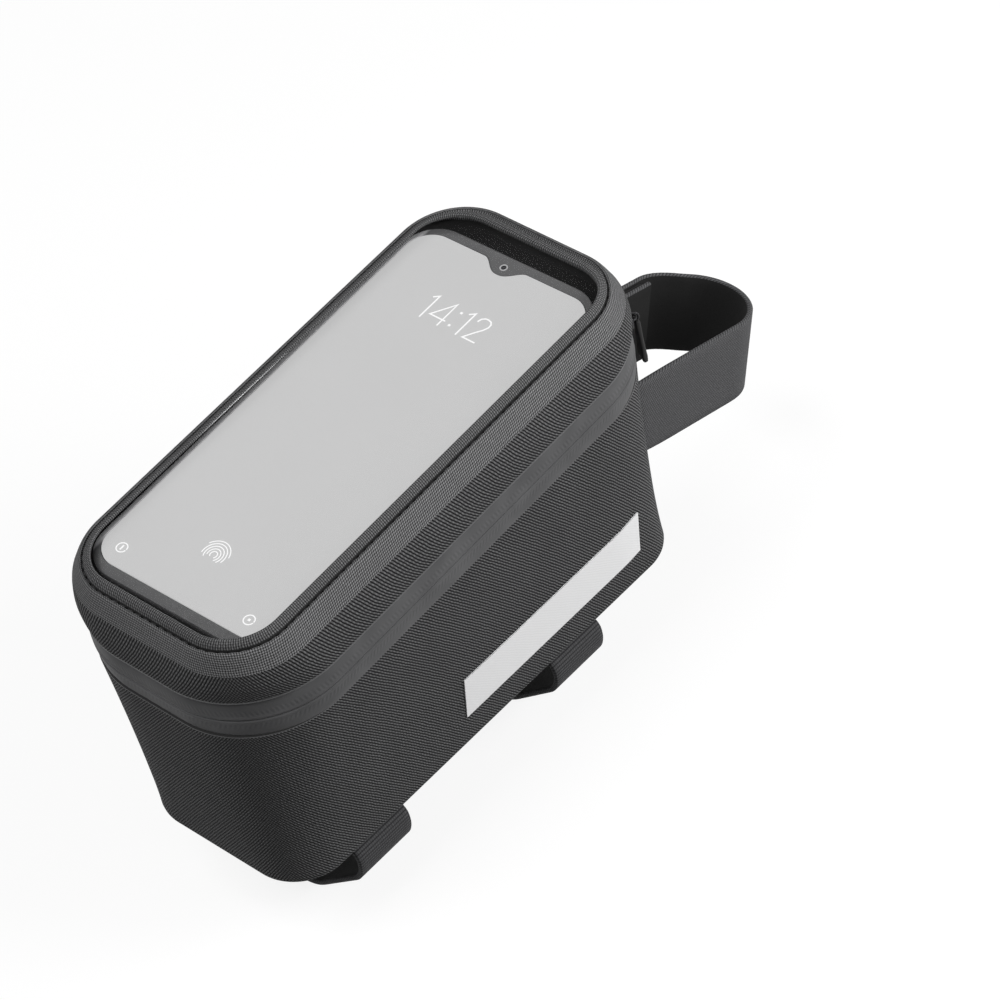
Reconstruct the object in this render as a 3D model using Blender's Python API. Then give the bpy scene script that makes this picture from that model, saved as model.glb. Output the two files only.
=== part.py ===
"""Top tube phone bag: a soft case that sits on a bicycle's top tube, with a phone under a clear window.

Metres, +Z up. +Y points forward to the handlebar stem and +X to the bicycle's right. The origin is the
centre of the base's underside, where the bag sits on the tube.
"""
import math

import bmesh
import bpy
import numpy as np
from mathutils import Matrix, Vector

MM = 0.001
GAP = 0.3 * MM

# Base that sits on the tube
BASE_WIDTH = 68.0 * MM
BASE_LENGTH = 177.5 * MM
BASE_CORNER = 17.0 * MM
BASE_EDGE = 2.5 * MM
EDGE_ROUND = 0.3
BASE_THICKNESS = 3.0 * MM

# Case: walls and the slanted plane where the lid meets the body
WALL = 3.5 * MM
CASE_CORNER = 33.0 * MM
WALL_BELLY = 0.3 * MM
WALL_FLARE = 1.55
ZIP_HEIGHT = 85.3 * MM
LID_SETBACK = 5.7 * MM
LID_SLOPE = math.radians(3.8)

# Lid
LID_HEIGHT = 27.8 * MM
CREST_INSET_X = 2.8 * MM
CREST_INSET_Y = 2.6 * MM
CREST_DROP = 8.5 * MM
CREST_CORNER = 24.0 * MM
LID_BELLY = 0.6 * MM
ROLL_DROP = 2.7 * MM
GROOVE_DROP = 3.4 * MM
ROLL_TOP = 0.16
ROLL_SHOULDER = 0.32
ROLL_SHOULDER_FALL = 0.12
ROLL_FOOT = 0.58
ROLL_FOOT_FALL = 0.5
LINER_CORNER = 18.0 * MM
LINER_ROOM_X = 0.4 * MM
LINER_ROOM_Y = 6.55 * MM
LID_PADDING_X = 4.1 * MM
LID_PADDING_Y = 4.0 * MM
RIM_WIDTH = 8.6 * MM
RIM_WIDTH_ENDS = 7.0 * MM
WINDOW_CORNER = 15.0 * MM
WELT_WIDTH = 3.4 * MM
WELT_DROP = 2.4 * MM
WELT_EDGE = 0.6 * MM
FILM_THICKNESS = 0.4 * MM
FILM_DEPTH = 4.5 * MM
FILM_MARGIN = 3.2 * MM

# Zip
ZIP_BAND = 14.0 * MM
ZIP_TAPE = 1.2 * MM
ZIP_TAPE_INSET = 0.4 * MM
ZIP_END_ANGLE = math.radians(78.0)
COIL_HEIGHT = 2.0 * MM
COIL_DEPTH = 1.5 * MM
STOP_LENGTH = 3.0 * MM
SLIDER_ANGLE = math.radians(64.0)
SLIDER_LENGTH = 6.5 * MM
SLIDER_HEIGHT = 4.2 * MM
SLIDER_THICKNESS = 1.0 * MM
SLIDER_STANDOFF = 1.2 * MM
SLIDER_FOOT = 0.45
EYE_HEIGHT = 2.2 * MM
EYE_REACH = 2.0 * MM
EYE_WIRE = 0.7 * MM
EYE_WIDTH = 3.4 * MM
PULL_LENGTH = 17.0 * MM
PULL_WIDTH = 4.6 * MM
PULL_THICKNESS = 1.6 * MM
PULL_EDGE = 0.5 * MM
HINGE_FABRIC = 0.6 * MM

# Phone and its pocket
PHONE_WIDTH = 70.0 * MM
PHONE_LENGTH = 155.5 * MM
PHONE_THICKNESS = 8.2 * MM
PHONE_CORNER = 12.0 * MM
PHONE_EDGE = 2.4 * MM
PHONE_FRONT = 1.6 * MM
PHONE_SHIFT_X = -1.2 * MM
PHONE_SHIFT_Y = -1.6 * MM
BEZEL_SIDE = 2.0 * MM
BEZEL_FRONT = 3.55 * MM
BEZEL_REAR = 3.95 * MM
SCREEN_CORNER = 8.5 * MM
SCREEN_THICKNESS = 0.6 * MM
NOTCH_WIDTH = 10.0 * MM
NOTCH_DEPTH = 5.6 * MM
LENS_DIAMETER = 2.6 * MM
LENS_DEPTH = 0.5 * MM
LENS_BACK = 1.7 * MM
PHONE_ROUNDING = 0.6 * MM
POCKET_PANEL = 1.2 * MM
POCKET_MOUTH = 20.0 * MM

# Reflective stripes on both sides
STRIPE_LENGTH = 82.0 * MM
STRIPE_HEIGHT = 17.0 * MM
STRIPE_FOOT = 14.2 * MM
STRIPE_CENTRE = 25.2 * MM
STRIPE_THICKNESS = 0.5 * MM

# Webbing straps
WEBBING = 1.8 * MM
PATCH = 1.6 * MM
PATCH_INSET = 1.0 * MM
OVERLAP = 20.0 * MM
LAP_RAMP = 14.0 * MM
TUBE_STRAP_WIDTH = 22.5 * MM
TUBE_STRAP_PLACES = {"rear": -54.5 * MM, "front": 35.3 * MM}
TUBE_WIDTH = 66.0 * MM
TUBE_DEPTH = 30.5 * MM
TUBE_SIDE_RADIUS = 9.5 * MM
TUBE_FLOOR_WIDTH = 20.0 * MM
TUBE_FLOOR_RADIUS = 14.0 * MM
TUBE_SIDE_DROP = 11.0 * MM
STRAP_BEND = 3.0 * MM
STRAP_SET_IN = 1.0 * MM
HEAD_STRAP_WIDTH = 28.0 * MM
HEAD_STRAP_HEIGHT = 41.4 * MM
HEAD_STRAP_TWIST = 18.0 * MM
HEAD_STRAP_SLOPE = math.radians(-15.9)
STEERER_DIAMETER = 34.0 * MM
STEERER_REACH = 50.2 * MM
STEERER_ROUND = 0.985

CORNER_STEPS = 8
ARC_STEPS = 7

# Values worked out from the sizes above
HALF_BAND = ZIP_BAND / 2
LINER_HALF_X = PHONE_WIDTH / 2 + abs(PHONE_SHIFT_X) + LINER_ROOM_X
LINER_HALF_Y = PHONE_LENGTH / 2 + abs(PHONE_SHIFT_Y) + LINER_ROOM_Y
CASE_HALF_X = LINER_HALF_X + LID_PADDING_X + CREST_INSET_X
CASE_HALF_Y = LINER_HALF_Y + LID_PADDING_Y + CREST_INSET_Y
WINDOW_WIDTH = 2 * (CASE_HALF_X - CREST_INSET_X - RIM_WIDTH)
WINDOW_LENGTH = 2 * (CASE_HALF_Y - CREST_INSET_Y - RIM_WIDTH_ENDS)
SCREEN_WIDTH = PHONE_WIDTH - 2 * BEZEL_SIDE
SCREEN_LENGTH = PHONE_LENGTH - BEZEL_FRONT - BEZEL_REAR
SCREEN_FORWARD = (BEZEL_REAR - BEZEL_FRONT) / 2
CREST_HEIGHT = LID_HEIGHT - CREST_DROP
FILM_TOP = LID_HEIGHT - FILM_DEPTH + FILM_THICKNESS
PHONE_TOP = FILM_TOP - FILM_THICKNESS - GAP
HINGE_Y = CASE_HALF_Y + GAP + HINGE_FABRIC + GAP / 3
CORNER_X = CASE_HALF_X - CASE_CORNER
CORNER_Y = CASE_HALF_Y - CASE_CORNER


def clear_scene():
    for item in list(bpy.data.objects):
        bpy.data.objects.remove(item, do_unlink=True)


def material(name, colour, roughness, metallic=0.0):
    """A plain Principled material, made once for each name."""
    found = bpy.data.materials.get(name)
    if found:
        return found
    made = bpy.data.materials.new(name)
    made.use_nodes = True
    shader = made.node_tree.nodes["Principled BSDF"]
    shader.inputs["Base Color"].default_value = (*colour, 1.0)
    shader.inputs["Roughness"].default_value = roughness
    shader.inputs["Metallic"].default_value = metallic
    return made


def fabric():
    return material("case_fabric", (0.055, 0.055, 0.058), 0.85)


def coated_tape():
    return material("coated_tape", (0.09, 0.09, 0.092), 0.55)


def webbing_cloth():
    return material("webbing", (0.05, 0.052, 0.055), 0.8)


def black_lining():
    return material("black_lining", (0.012, 0.012, 0.012), 0.9)


def slider_metal():
    return material("slider_metal", (0.03, 0.03, 0.032), 0.35, 0.8)


def empty_at(name, location, rotation_x=0.0, rotation_z=0.0):
    guide = bpy.data.objects.new(name, None)
    guide.location = location
    guide.rotation_euler = (rotation_x, 0.0, rotation_z)
    bpy.context.collection.objects.link(guide)
    return guide


def add_part(name, mesh, surface, parent=None, location=(0.0, 0.0, 0.0)):
    """The named object of a sub-part, with its material, under its parent guide."""
    mesh.materials.append(surface)
    part = bpy.data.objects.new(name, mesh)
    part.location = location
    part.parent = parent
    bpy.context.collection.objects.link(part)
    mesh.shade_smooth()
    mesh.set_sharp_from_angle(angle=math.radians(32.0))
    return part


def closed_mesh(name, corners, faces):
    """A mesh from corner points and faces, with every face turned outwards."""
    mesh = bpy.data.meshes.new(name)
    mesh.from_pydata([tuple(map(float, corner)) for corner in corners], [], faces)
    shape = bmesh.new()
    shape.from_mesh(mesh)
    bmesh.ops.recalc_face_normals(shape, faces=shape.faces)
    shape.to_mesh(mesh)
    shape.free()
    return mesh


def ring_faces(rows, columns, wrap_rows, wrap_columns):
    """Quads over a grid of points, joined round its rows and its columns where asked."""
    faces = []
    for row in range(rows if wrap_rows else rows - 1):
        for column in range(columns if wrap_columns else columns - 1):
            here = row * columns + column
            right = row * columns + (column + 1) % columns
            above = ((row + 1) % rows) * columns + column
            corner = ((row + 1) % rows) * columns + (column + 1) % columns
            faces.append((here, right, corner, above))
    return faces


def hollow_ring(name, rings):
    """A closed band round a hole: the rings follow its section all the way round."""
    points = np.vstack(rings)
    return closed_mesh(name, points, ring_faces(len(rings), len(rings[0]), True, True))


def stacked_solid(name, rings):
    """A solid skinned over stacked rings, with its first and last ring filled."""
    points = np.vstack(rings)
    columns = len(rings[0])
    faces = ring_faces(len(rings), columns, False, True)
    faces.append(tuple(range(columns)))
    faces.append(tuple(range((len(rings) - 1) * columns, len(rings) * columns)))
    return closed_mesh(name, points, faces)


def swept_strip(name, stations):
    """A strip whose closed section is carried along an open path: stations is (places, section, 3)."""
    places, section, _ = stations.shape
    points = stations.reshape(-1, 3)
    faces = ring_faces(places, section, False, True)
    faces.append(tuple(range(section)))
    faces.append(tuple(range((places - 1) * section, places * section)))
    return closed_mesh(name, points, faces)


def outline(half_x, half_y, radius):
    """Rounded rectangle, anticlockwise from the front end of its right side."""
    sweep = np.linspace(0.0, math.pi / 2, CORNER_STEPS + 1)
    corners = []
    for quarter, (side_x, side_y) in enumerate(((1, 1), (-1, 1), (-1, -1), (1, -1))):
        angle = sweep + quarter * math.pi / 2
        centre = np.array([side_x * (half_x - radius), side_y * (half_y - radius)])
        corners.append(centre + radius * np.stack([np.cos(angle), np.sin(angle)], axis=1))
    return np.vstack(corners)


def level(half_x, half_y, radius, height):
    """One flat ring of an outline at a height."""
    flat = outline(half_x, half_y, radius)
    return np.column_stack([flat, np.full(len(flat), height)])


def inset_level(half_x, half_y, radius, inset, height):
    """The same ring moved inwards by inset, its corner radius with it."""
    return level(half_x - inset, half_y - inset, radius - inset, height)


def wall_ring(share, inset, lift):
    """A ring of the body's wall: share 0 is the base and 1 the slanted plane of the zip."""
    eased = share ** WALL_FLARE
    belly = WALL_BELLY * math.sin(math.pi * share)
    half_x = BASE_WIDTH / 2 + (CASE_HALF_X - BASE_WIDTH / 2) * eased + belly - inset
    half_y = BASE_LENGTH / 2 + (CASE_HALF_Y - BASE_LENGTH / 2) * eased + belly - inset
    radius = BASE_CORNER + (CASE_CORNER - BASE_CORNER) * share - inset
    flat = outline(half_x, half_y, radius)
    setback = LID_SETBACK * share
    height = share * (ZIP_HEIGHT + math.tan(LID_SLOPE) * flat[:, 1]) + lift
    return np.column_stack([flat[:, 0], flat[:, 1] - setback, height])


def rim_row(reach, drop):
    """A ring of the lid's rim: reach outwards from the window's edge, and its drop from the top."""
    share = reach / RIM_WIDTH
    half_x = WINDOW_WIDTH / 2 + reach
    half_y = WINDOW_LENGTH / 2 + RIM_WIDTH_ENDS * share
    radius = WINDOW_CORNER + (CREST_CORNER - WINDOW_CORNER) * share
    return level(half_x, half_y, radius, LID_HEIGHT - drop)


def zip_path(inset, first=ZIP_END_ANGLE, steps=CORNER_STEPS):
    """The zip's run seen from above: front right corner, right side, rear, left side, front left corner."""
    quarter = math.pi / 2
    legs = (
        (CORNER_X, CORNER_Y, first, 0.0),
        (CORNER_X, -CORNER_Y, 0.0, -quarter),
        (-CORNER_X, -CORNER_Y, -quarter, -2 * quarter),
        (-CORNER_X, CORNER_Y, 2 * quarter, math.pi - first),
    )
    stretches = []
    for centre_x, centre_y, start, stop in legs:
        angle = np.linspace(start, stop, steps + 1)
        reach = CASE_CORNER - inset
        stretches.append(np.column_stack([centre_x + reach * np.cos(angle), centre_y + reach * np.sin(angle)]))
    return np.vstack(stretches)


def zip_strip(name, section, first=ZIP_END_ANGLE):
    """A strip along the zip's run, its section given as (inset, height) corners."""
    lanes = []
    for inset, height in section:
        flat = zip_path(inset, first)
        lanes.append(np.column_stack([flat, np.full(len(flat), height)]))
    return swept_strip(name, np.stack(lanes, axis=1))


def box_section(near, far, low, high):
    return ((near, low), (far, low), (far, high), (near, high))


def cut(part, cutter):
    """Takes the cutter's shape out of a part with an exact Boolean."""
    cutter.hide_render = True
    cutter.display_type = "WIRE"
    step = part.modifiers.new("cut", "BOOLEAN")
    step.operation = "DIFFERENCE"
    step.solver = "EXACT"
    step.object = cutter


def zip_cutter(parent, location):
    """Guide that clears the zip's band out of the walls."""
    section = box_section(-WALL, 2 * WALL, -HALF_BAND, HALF_BAND)
    return add_part("zip_band_guide", zip_strip("zip_band_guide", section), fabric(), parent, location)


def body_wall(cutter):
    """Padded side wall of the body, one band from the base up to the plane of the zip."""
    edge = BASE_EDGE
    outer = [wall_ring(0.0, edge, 0.0), wall_ring(0.0, edge * EDGE_ROUND, edge * EDGE_ROUND), wall_ring(0.0, 0.0, edge)]
    for share in (0.25, 0.5, 0.75):
        outer.append(wall_ring(share, 0.0, 0.0))
    outer.append(wall_ring(1.0, 0.0, -GAP))
    inner = [wall_ring(1.0, WALL, -GAP)]
    for share in (0.75, 0.5, 0.25):
        inner.append(wall_ring(share, WALL, 0.0))
    inner.append(wall_ring(0.0, WALL, BASE_THICKNESS))
    inner.append(wall_ring(0.0, WALL, 0.0))
    part = add_part("body_wall", hollow_ring("body_wall", outer + inner), fabric())
    cut(part, cutter)


def base_panel():
    """Stiff floor panel inside the foot of the wall; its underside is what sits on the tube."""
    inset = WALL + GAP
    rings = [wall_ring(0.0, inset, 0.0), wall_ring(0.0, inset, BASE_THICKNESS)]
    board = material("floor_board", (0.015, 0.015, 0.015), 0.7)
    add_part("base_panel", stacked_solid("base_panel", rings), board)


def lid_shell(parent, location, cutter):
    """Padded lid: its side wall and the rolled rim round the window, one sewn shell."""
    middle = (HALF_BAND + CREST_HEIGHT) / 2
    side = (
        inset_level(CASE_HALF_X, CASE_HALF_Y, CASE_CORNER, 0.0, GAP),
        inset_level(CASE_HALF_X, CASE_HALF_Y, CASE_CORNER, 0.0, HALF_BAND),
        level(CASE_HALF_X - CREST_INSET_X / 2 + LID_BELLY, CASE_HALF_Y - CREST_INSET_Y / 2 + LID_BELLY,
              (CASE_CORNER + CREST_CORNER) / 2, middle),
    )
    lip = WELT_WIDTH + GAP
    slope = RIM_WIDTH - lip
    fall = CREST_DROP - ROLL_DROP
    crest = (
        rim_row(RIM_WIDTH, CREST_DROP),
        rim_row(lip + ROLL_FOOT * slope, ROLL_DROP + ROLL_FOOT_FALL * fall),
        rim_row(lip + ROLL_SHOULDER * slope, ROLL_DROP + ROLL_SHOULDER_FALL * fall),
        rim_row(lip + ROLL_TOP * slope, ROLL_DROP),
        rim_row(lip, GROOVE_DROP),
        rim_row(lip, LID_HEIGHT - PHONE_TOP - GAP),
    )
    pocket = PHONE_TOP - PHONE_THICKNESS - WALL / 2
    inside = (
        level(LINER_HALF_X, LINER_HALF_Y, LINER_CORNER, PHONE_TOP + GAP),
        level(LINER_HALF_X, LINER_HALF_Y, LINER_CORNER, pocket),
        inset_level(CASE_HALF_X, CASE_HALF_Y, CASE_CORNER, WALL, HALF_BAND),
        inset_level(CASE_HALF_X, CASE_HALF_Y, CASE_CORNER, WALL, GAP),
    )
    part = add_part("lid_shell", hollow_ring("lid_shell", side + crest + inside), fabric(), parent, location)
    cut(part, cutter)


def window_welt(parent, location):
    """Bound edge of the window: a narrow raised tape between the rim's groove and the film."""
    foot = LID_HEIGHT - FILM_TOP - GAP
    rings = (
        rim_row(WELT_WIDTH, foot),
        rim_row(WELT_WIDTH, WELT_DROP),
        rim_row((WELT_WIDTH + WELT_EDGE) / 2, WELT_DROP / 3),
        rim_row(WELT_EDGE, 0.0),
        rim_row(0.0, WELT_EDGE),
        rim_row(0.0, foot),
    )
    add_part("window_welt", hollow_ring("window_welt", rings), fabric(), parent, location)


def window_film(parent, location):
    """Clear film under the welt, one flat sheet."""
    top = LID_HEIGHT - FILM_TOP
    rings = [rim_row(FILM_MARGIN, top + FILM_THICKNESS), rim_row(FILM_MARGIN, top)]
    clear = material("clear_film", (0.8, 0.82, 0.84), 0.08)
    add_part("window_film", stacked_solid("window_film", rings), clear, parent, location)


def phone_level(inset, height):
    """A ring of the phone's outline at a height, in the lid's frame."""
    ring = inset_level(PHONE_WIDTH / 2, PHONE_LENGTH / 2, PHONE_CORNER, inset, height)
    return ring + np.array([PHONE_SHIFT_X, PHONE_SHIFT_Y, 0.0])


def notched_screen(inset, height):
    """Ring of the lit screen: a rounded rectangle with a drop-shaped notch at its front end."""
    half_x = SCREEN_WIDTH / 2 - inset
    half_y = SCREEN_LENGTH / 2 - inset
    flat = outline(half_x, half_y, SCREEN_CORNER - inset)
    across = np.linspace(1.0, -1.0, 13)
    dip = NOTCH_DEPTH / 2 * (1.0 + np.cos(math.pi * across))
    notch = np.column_stack([across * (NOTCH_WIDTH / 2 + inset), half_y - dip])
    front = CORNER_STEPS + 1
    flat = np.vstack([flat[:front], notch, flat[front:]])
    flat = flat + np.array([PHONE_SHIFT_X, PHONE_SHIFT_Y + SCREEN_FORWARD])
    return np.column_stack([flat, np.full(len(flat), height)])


def phone(parent, location):
    """Handset under the window: back shell, front panel, lit screen and the camera in the notch."""
    bottom = PHONE_TOP - PHONE_THICKNESS
    seam = PHONE_TOP - PHONE_FRONT
    side = PHONE_EDGE
    rings = (
        phone_level(side, bottom),
        phone_level(side * EDGE_ROUND, bottom + side * EDGE_ROUND),
        phone_level(0.0, bottom + side),
        phone_level(0.0, seam - GAP),
    )
    shell = material("phone_shell", (0.06, 0.06, 0.065), 0.4, 0.5)
    add_part("phone_body", stacked_solid("phone_body", rings), shell, parent, location)

    rounding = PHONE_ROUNDING
    rings = (
        phone_level(0.0, seam),
        phone_level(0.0, PHONE_TOP - rounding),
        phone_level(rounding * EDGE_ROUND, PHONE_TOP - rounding * EDGE_ROUND),
        phone_level(rounding, PHONE_TOP),
    )
    glass = material("phone_front_glass", (0.09, 0.09, 0.095), 0.12)
    front = add_part("phone_front", stacked_solid("phone_front", rings), glass, parent, location)
    recess = SCREEN_THICKNESS + GAP
    well = (notched_screen(-GAP, PHONE_TOP - recess), notched_screen(-GAP, PHONE_TOP + recess))
    cut(front, add_part("screen_well_guide", stacked_solid("screen_well_guide", well), glass, parent, location))

    rings = (notched_screen(0.0, PHONE_TOP - SCREEN_THICKNESS), notched_screen(0.0, PHONE_TOP))
    lit = material("lit_screen", (0.6, 0.6, 0.6), 0.3)
    add_part("phone_screen", stacked_solid("phone_screen", rings), lit, parent, location)

    spot = Vector((PHONE_SHIFT_X, PHONE_SHIFT_Y + SCREEN_FORWARD + SCREEN_LENGTH / 2 - LENS_BACK, 0.0))
    lens_radius = LENS_DIAMETER / 2
    turn = np.linspace(0.0, 2 * math.pi, 16, endpoint=False)
    disc = np.column_stack([spot.x + np.cos(turn) * lens_radius, spot.y + np.sin(turn) * lens_radius])
    lens_foot = PHONE_TOP - LENS_DEPTH
    rings = [np.column_stack([disc, np.full(len(turn), height)]) for height in (lens_foot, PHONE_TOP)]
    dark = material("lens_glass", (0.01, 0.01, 0.012), 0.05)
    add_part("phone_camera_lens", stacked_solid("phone_camera_lens", rings), dark, parent, location)
    hole_radius = lens_radius + GAP
    hole = np.column_stack([spot.x + np.cos(turn) * hole_radius, spot.y + np.sin(turn) * hole_radius])
    hole_foot = lens_foot - GAP
    rings = [np.column_stack([hole, np.full(len(turn), height)]) for height in (hole_foot, PHONE_TOP + hole_radius)]
    cut(front, add_part("lens_hole_guide", stacked_solid("lens_hole_guide", rings), dark, parent, location))


def phone_pocket(parent, location):
    """Panel inside the lid that carries the phone; its rear end is open as the pocket's mouth."""
    top = PHONE_TOP - PHONE_THICKNESS - GAP
    half_x = LINER_HALF_X - GAP
    front = LINER_HALF_Y - GAP
    radius = LINER_CORNER - GAP
    rear = -front + POCKET_MOUTH
    sweep = np.linspace(0.0, math.pi / 2, CORNER_STEPS + 1)
    right = np.column_stack([half_x - radius + radius * np.cos(sweep), front - radius + radius * np.sin(sweep)])
    left = np.column_stack([-right[::-1, 0], right[::-1, 1]])
    flat = np.vstack([[(half_x, rear)], right, left, [(-half_x, rear)]])
    rings = [np.column_stack([flat, np.full(len(flat), height)]) for height in (top - POCKET_PANEL, top)]
    add_part("phone_pocket", stacked_solid("phone_pocket", rings), black_lining(), parent, location)


def zip_tapes(fixed, lid, location):
    """Both coated tapes and both coil rows of the zip, with the stops at its ends."""
    near = ZIP_TAPE_INSET
    far = near + ZIP_TAPE
    edge = HALF_BAND - GAP
    coil_near = far + GAP
    coil_far = coil_near + COIL_DEPTH
    end = ZIP_END_ANGLE - 2 * GAP / CASE_CORNER
    lower = zip_strip("zip_tape_lower", box_section(near, far, -edge, -GAP), end)
    upper = zip_strip("zip_tape_upper", box_section(near, far, GAP, edge), end)
    add_part("zip_tape_lower", lower, coated_tape(), fixed, location)
    add_part("zip_tape_upper", upper, coated_tape(), lid, location)
    coil_end = end - (STOP_LENGTH + GAP) / (CASE_CORNER - coil_far)
    coil = material("zip_coil", (0.02, 0.02, 0.02), 0.5)
    lower = zip_strip("zip_coil_lower", box_section(coil_near, coil_far, -COIL_HEIGHT - GAP, -GAP), coil_end)
    upper = zip_strip("zip_coil_upper", box_section(coil_near, coil_far, GAP, COIL_HEIGHT + GAP), coil_end)
    add_part("zip_coil_lower", lower, coil, fixed, location)
    add_part("zip_coil_upper", upper, coil, lid, location)
    stop_start = end
    stop_end = end - STOP_LENGTH / (CASE_CORNER - coil_far)
    for side, name in ((1.0, "zip_stop_right"), (-1.0, "zip_stop_left")):
        stations = []
        for angle in np.linspace(stop_start, stop_end, 3):
            row = []
            for inset, height in box_section(coil_near, coil_far, -COIL_HEIGHT - GAP, -GAP):
                reach = CASE_CORNER - inset
                row.append((side * (CORNER_X + reach * math.cos(angle)), CORNER_Y + reach * math.sin(angle), height))
            stations.append(row)
        add_part(name, swept_strip(name, np.array(stations)), coil, fixed, location)


def front_hinge(fixed, location):
    """Fabric strip across the front, between the zip's two ends, where the lid folds back."""
    near = CASE_HALF_Y + GAP
    far = near + HINGE_FABRIC
    half_x = CORNER_X + CASE_CORNER * math.cos(ZIP_END_ANGLE) - 2 * GAP
    corners = []
    for height in (-HALF_BAND, -GAP):
        for x, y in ((-half_x, near), (half_x, near), (half_x, far), (-half_x, far)):
            corners.append((x, y, height))
    faces = [(0, 1, 2, 3), (4, 5, 6, 7), (0, 1, 5, 4), (1, 2, 6, 5), (2, 3, 7, 6), (3, 0, 4, 7)]
    add_part("front_hinge", closed_mesh("front_hinge", corners, faces), fabric(), fixed, location)


def arc_block(start, stop, near, far, low, high):
    """Corners of a block bent round the zip's front right corner, relative to the corner's centre."""
    stations = []
    for angle in np.linspace(start, stop, 4):
        row = []
        for reach, height in ((near, low), (far, low), (far, high), (near, high)):
            row.append((reach * math.cos(angle), reach * math.sin(angle), height))
        stations.append(row)
    return np.array(stations)


def zip_slider(fixed, corner):
    """Slider of the zip: a bent plate outside the tapes, its foot on the lower tape, and the pull's eye."""
    span = SLIDER_LENGTH / CASE_CORNER / 2
    near = CASE_CORNER + SLIDER_STANDOFF - ZIP_TAPE_INSET
    far = near + SLIDER_THICKNESS
    half = SLIDER_HEIGHT / 2
    start, stop = SLIDER_ANGLE - span, SLIDER_ANGLE + span
    plate = swept_strip("zip_slider", arc_block(start, stop, near, far, -half, half))
    part = add_part("zip_slider", plate, slider_metal(), corner)
    foot_near = CASE_CORNER - ZIP_TAPE_INSET + GAP
    foot_span = span * SLIDER_FOOT
    lap = SLIDER_THICKNESS / 3
    foot = arc_block(SLIDER_ANGLE - foot_span, SLIDER_ANGLE + foot_span, foot_near, near + lap, GAP - half, -GAP)
    join(part, add_part("slider_foot_guide", swept_strip("slider_foot_guide", foot), slider_metal(), corner))
    eye_span = EYE_WIDTH / far / 2
    eye = arc_block(SLIDER_ANGLE - eye_span, SLIDER_ANGLE + eye_span, far - lap, far + EYE_REACH,
                    -EYE_HEIGHT / 2, EYE_HEIGHT / 2)
    join(part, add_part("slider_eye_guide", swept_strip("slider_eye_guide", eye), slider_metal(), corner))
    hole_span = 2 * eye_span
    hole_near = far
    hole_far = far + EYE_REACH - EYE_WIRE
    half_hole = EYE_HEIGHT / 2 - EYE_WIRE
    slot = arc_block(SLIDER_ANGLE - hole_span, SLIDER_ANGLE + hole_span, hole_near, hole_far,
                     -half_hole, half_hole)
    cut(part, add_part("eye_slot_guide", swept_strip("eye_slot_guide", slot), slider_metal(), corner))


def join(part, extra):
    """Unites an overlapping block with a part."""
    extra.hide_render = True
    extra.display_type = "WIRE"
    step = part.modifiers.new("join", "BOOLEAN")
    step.operation = "UNION"
    step.solver = "EXACT"
    step.object = extra


def convex_path(corners, steps=ARC_STEPS):
    """A closed loop of straight runs and arcs: corners are (x, y, radius), in order, all convex."""
    points = []
    count = len(corners)
    for index in range(count):
        before = Vector(corners[index - 1][:2])
        here = Vector(corners[index][:2])
        after = Vector(corners[(index + 1) % count][:2])
        radius = corners[index][2]
        back = (before - here).normalized()
        ahead = (after - here).normalized()
        half_angle = back.angle(ahead) / 2
        tangent = radius / math.tan(half_angle)
        centre = here + (back + ahead).normalized() * (radius / math.sin(half_angle))
        start = here + back * tangent - centre
        stop = here + ahead * tangent - centre
        turn = math.atan2(start.x * stop.y - start.y * stop.x, start.dot(stop))
        for share in np.linspace(0.0, 1.0, steps + 1):
            angle = math.atan2(start.y, start.x) + turn * share
            points.append((centre.x + radius * math.cos(angle), centre.y + radius * math.sin(angle)))
    return np.array(points)


def webbing_turns(loop, first, extra, ramp):
    """Lays webbing once round a loop and on for extra, the second layer lying over the first.

    Returns the inner face's points with their outward normals, and the lift of each off the loop.
    """
    closed = np.vstack([loop, loop[:1]])
    lengths = np.concatenate([[0.0], np.cumsum(np.linalg.norm(np.diff(closed, axis=0), axis=1))])
    total = lengths[-1]
    layer = WEBBING + PATCH + 2 * GAP
    marks = np.concatenate([lengths[:-1] + total * turn for turn in range(3)])
    lap = first + total
    stops = [first, first + ramp, lap - ramp, lap, lap + 2 * GAP, lap + extra / 2, lap + extra]
    inside = marks[(marks > first) & (marks < stops[-1])]
    places = np.unique(np.round(np.concatenate([inside, stops]), 7))
    wrapped = places % total
    flat = np.column_stack([np.interp(wrapped, lengths, closed[:, axis]) for axis in (0, 1)])
    step = 0.2 * MM
    ahead = np.column_stack([np.interp((wrapped + step) % total, lengths, closed[:, axis]) for axis in (0, 1)])
    behind = np.column_stack([np.interp((wrapped - step) % total, lengths, closed[:, axis]) for axis in (0, 1)])
    tangent = ahead - behind
    tangent /= np.linalg.norm(tangent, axis=1)[:, None]
    normal = np.column_stack([tangent[:, 1], -tangent[:, 0]])
    lift = np.clip((places - (first + total - ramp)) / ramp, 0.0, 1.0) * layer
    return flat, normal, lift, places


def strap_stations(flat, normal, low, high, width, lay):
    """Section corners of a flat strap along its path; lay puts a point of the loop's plane in place."""
    stations = []
    for point, outward, near, far in zip(flat, normal, low, high):
        row = []
        for reach, side in ((near, -1), (far, -1), (far, 1), (near, 1)):
            place = point + outward * reach
            row.append(lay(place[0], place[1], side * width / 2))
        stations.append(row)
    return np.array(stations)


def length_to(loop, index):
    """Length along a loop up to one of its points."""
    return float(np.linalg.norm(np.diff(loop[:index + 1], axis=0), axis=1).sum())


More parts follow.
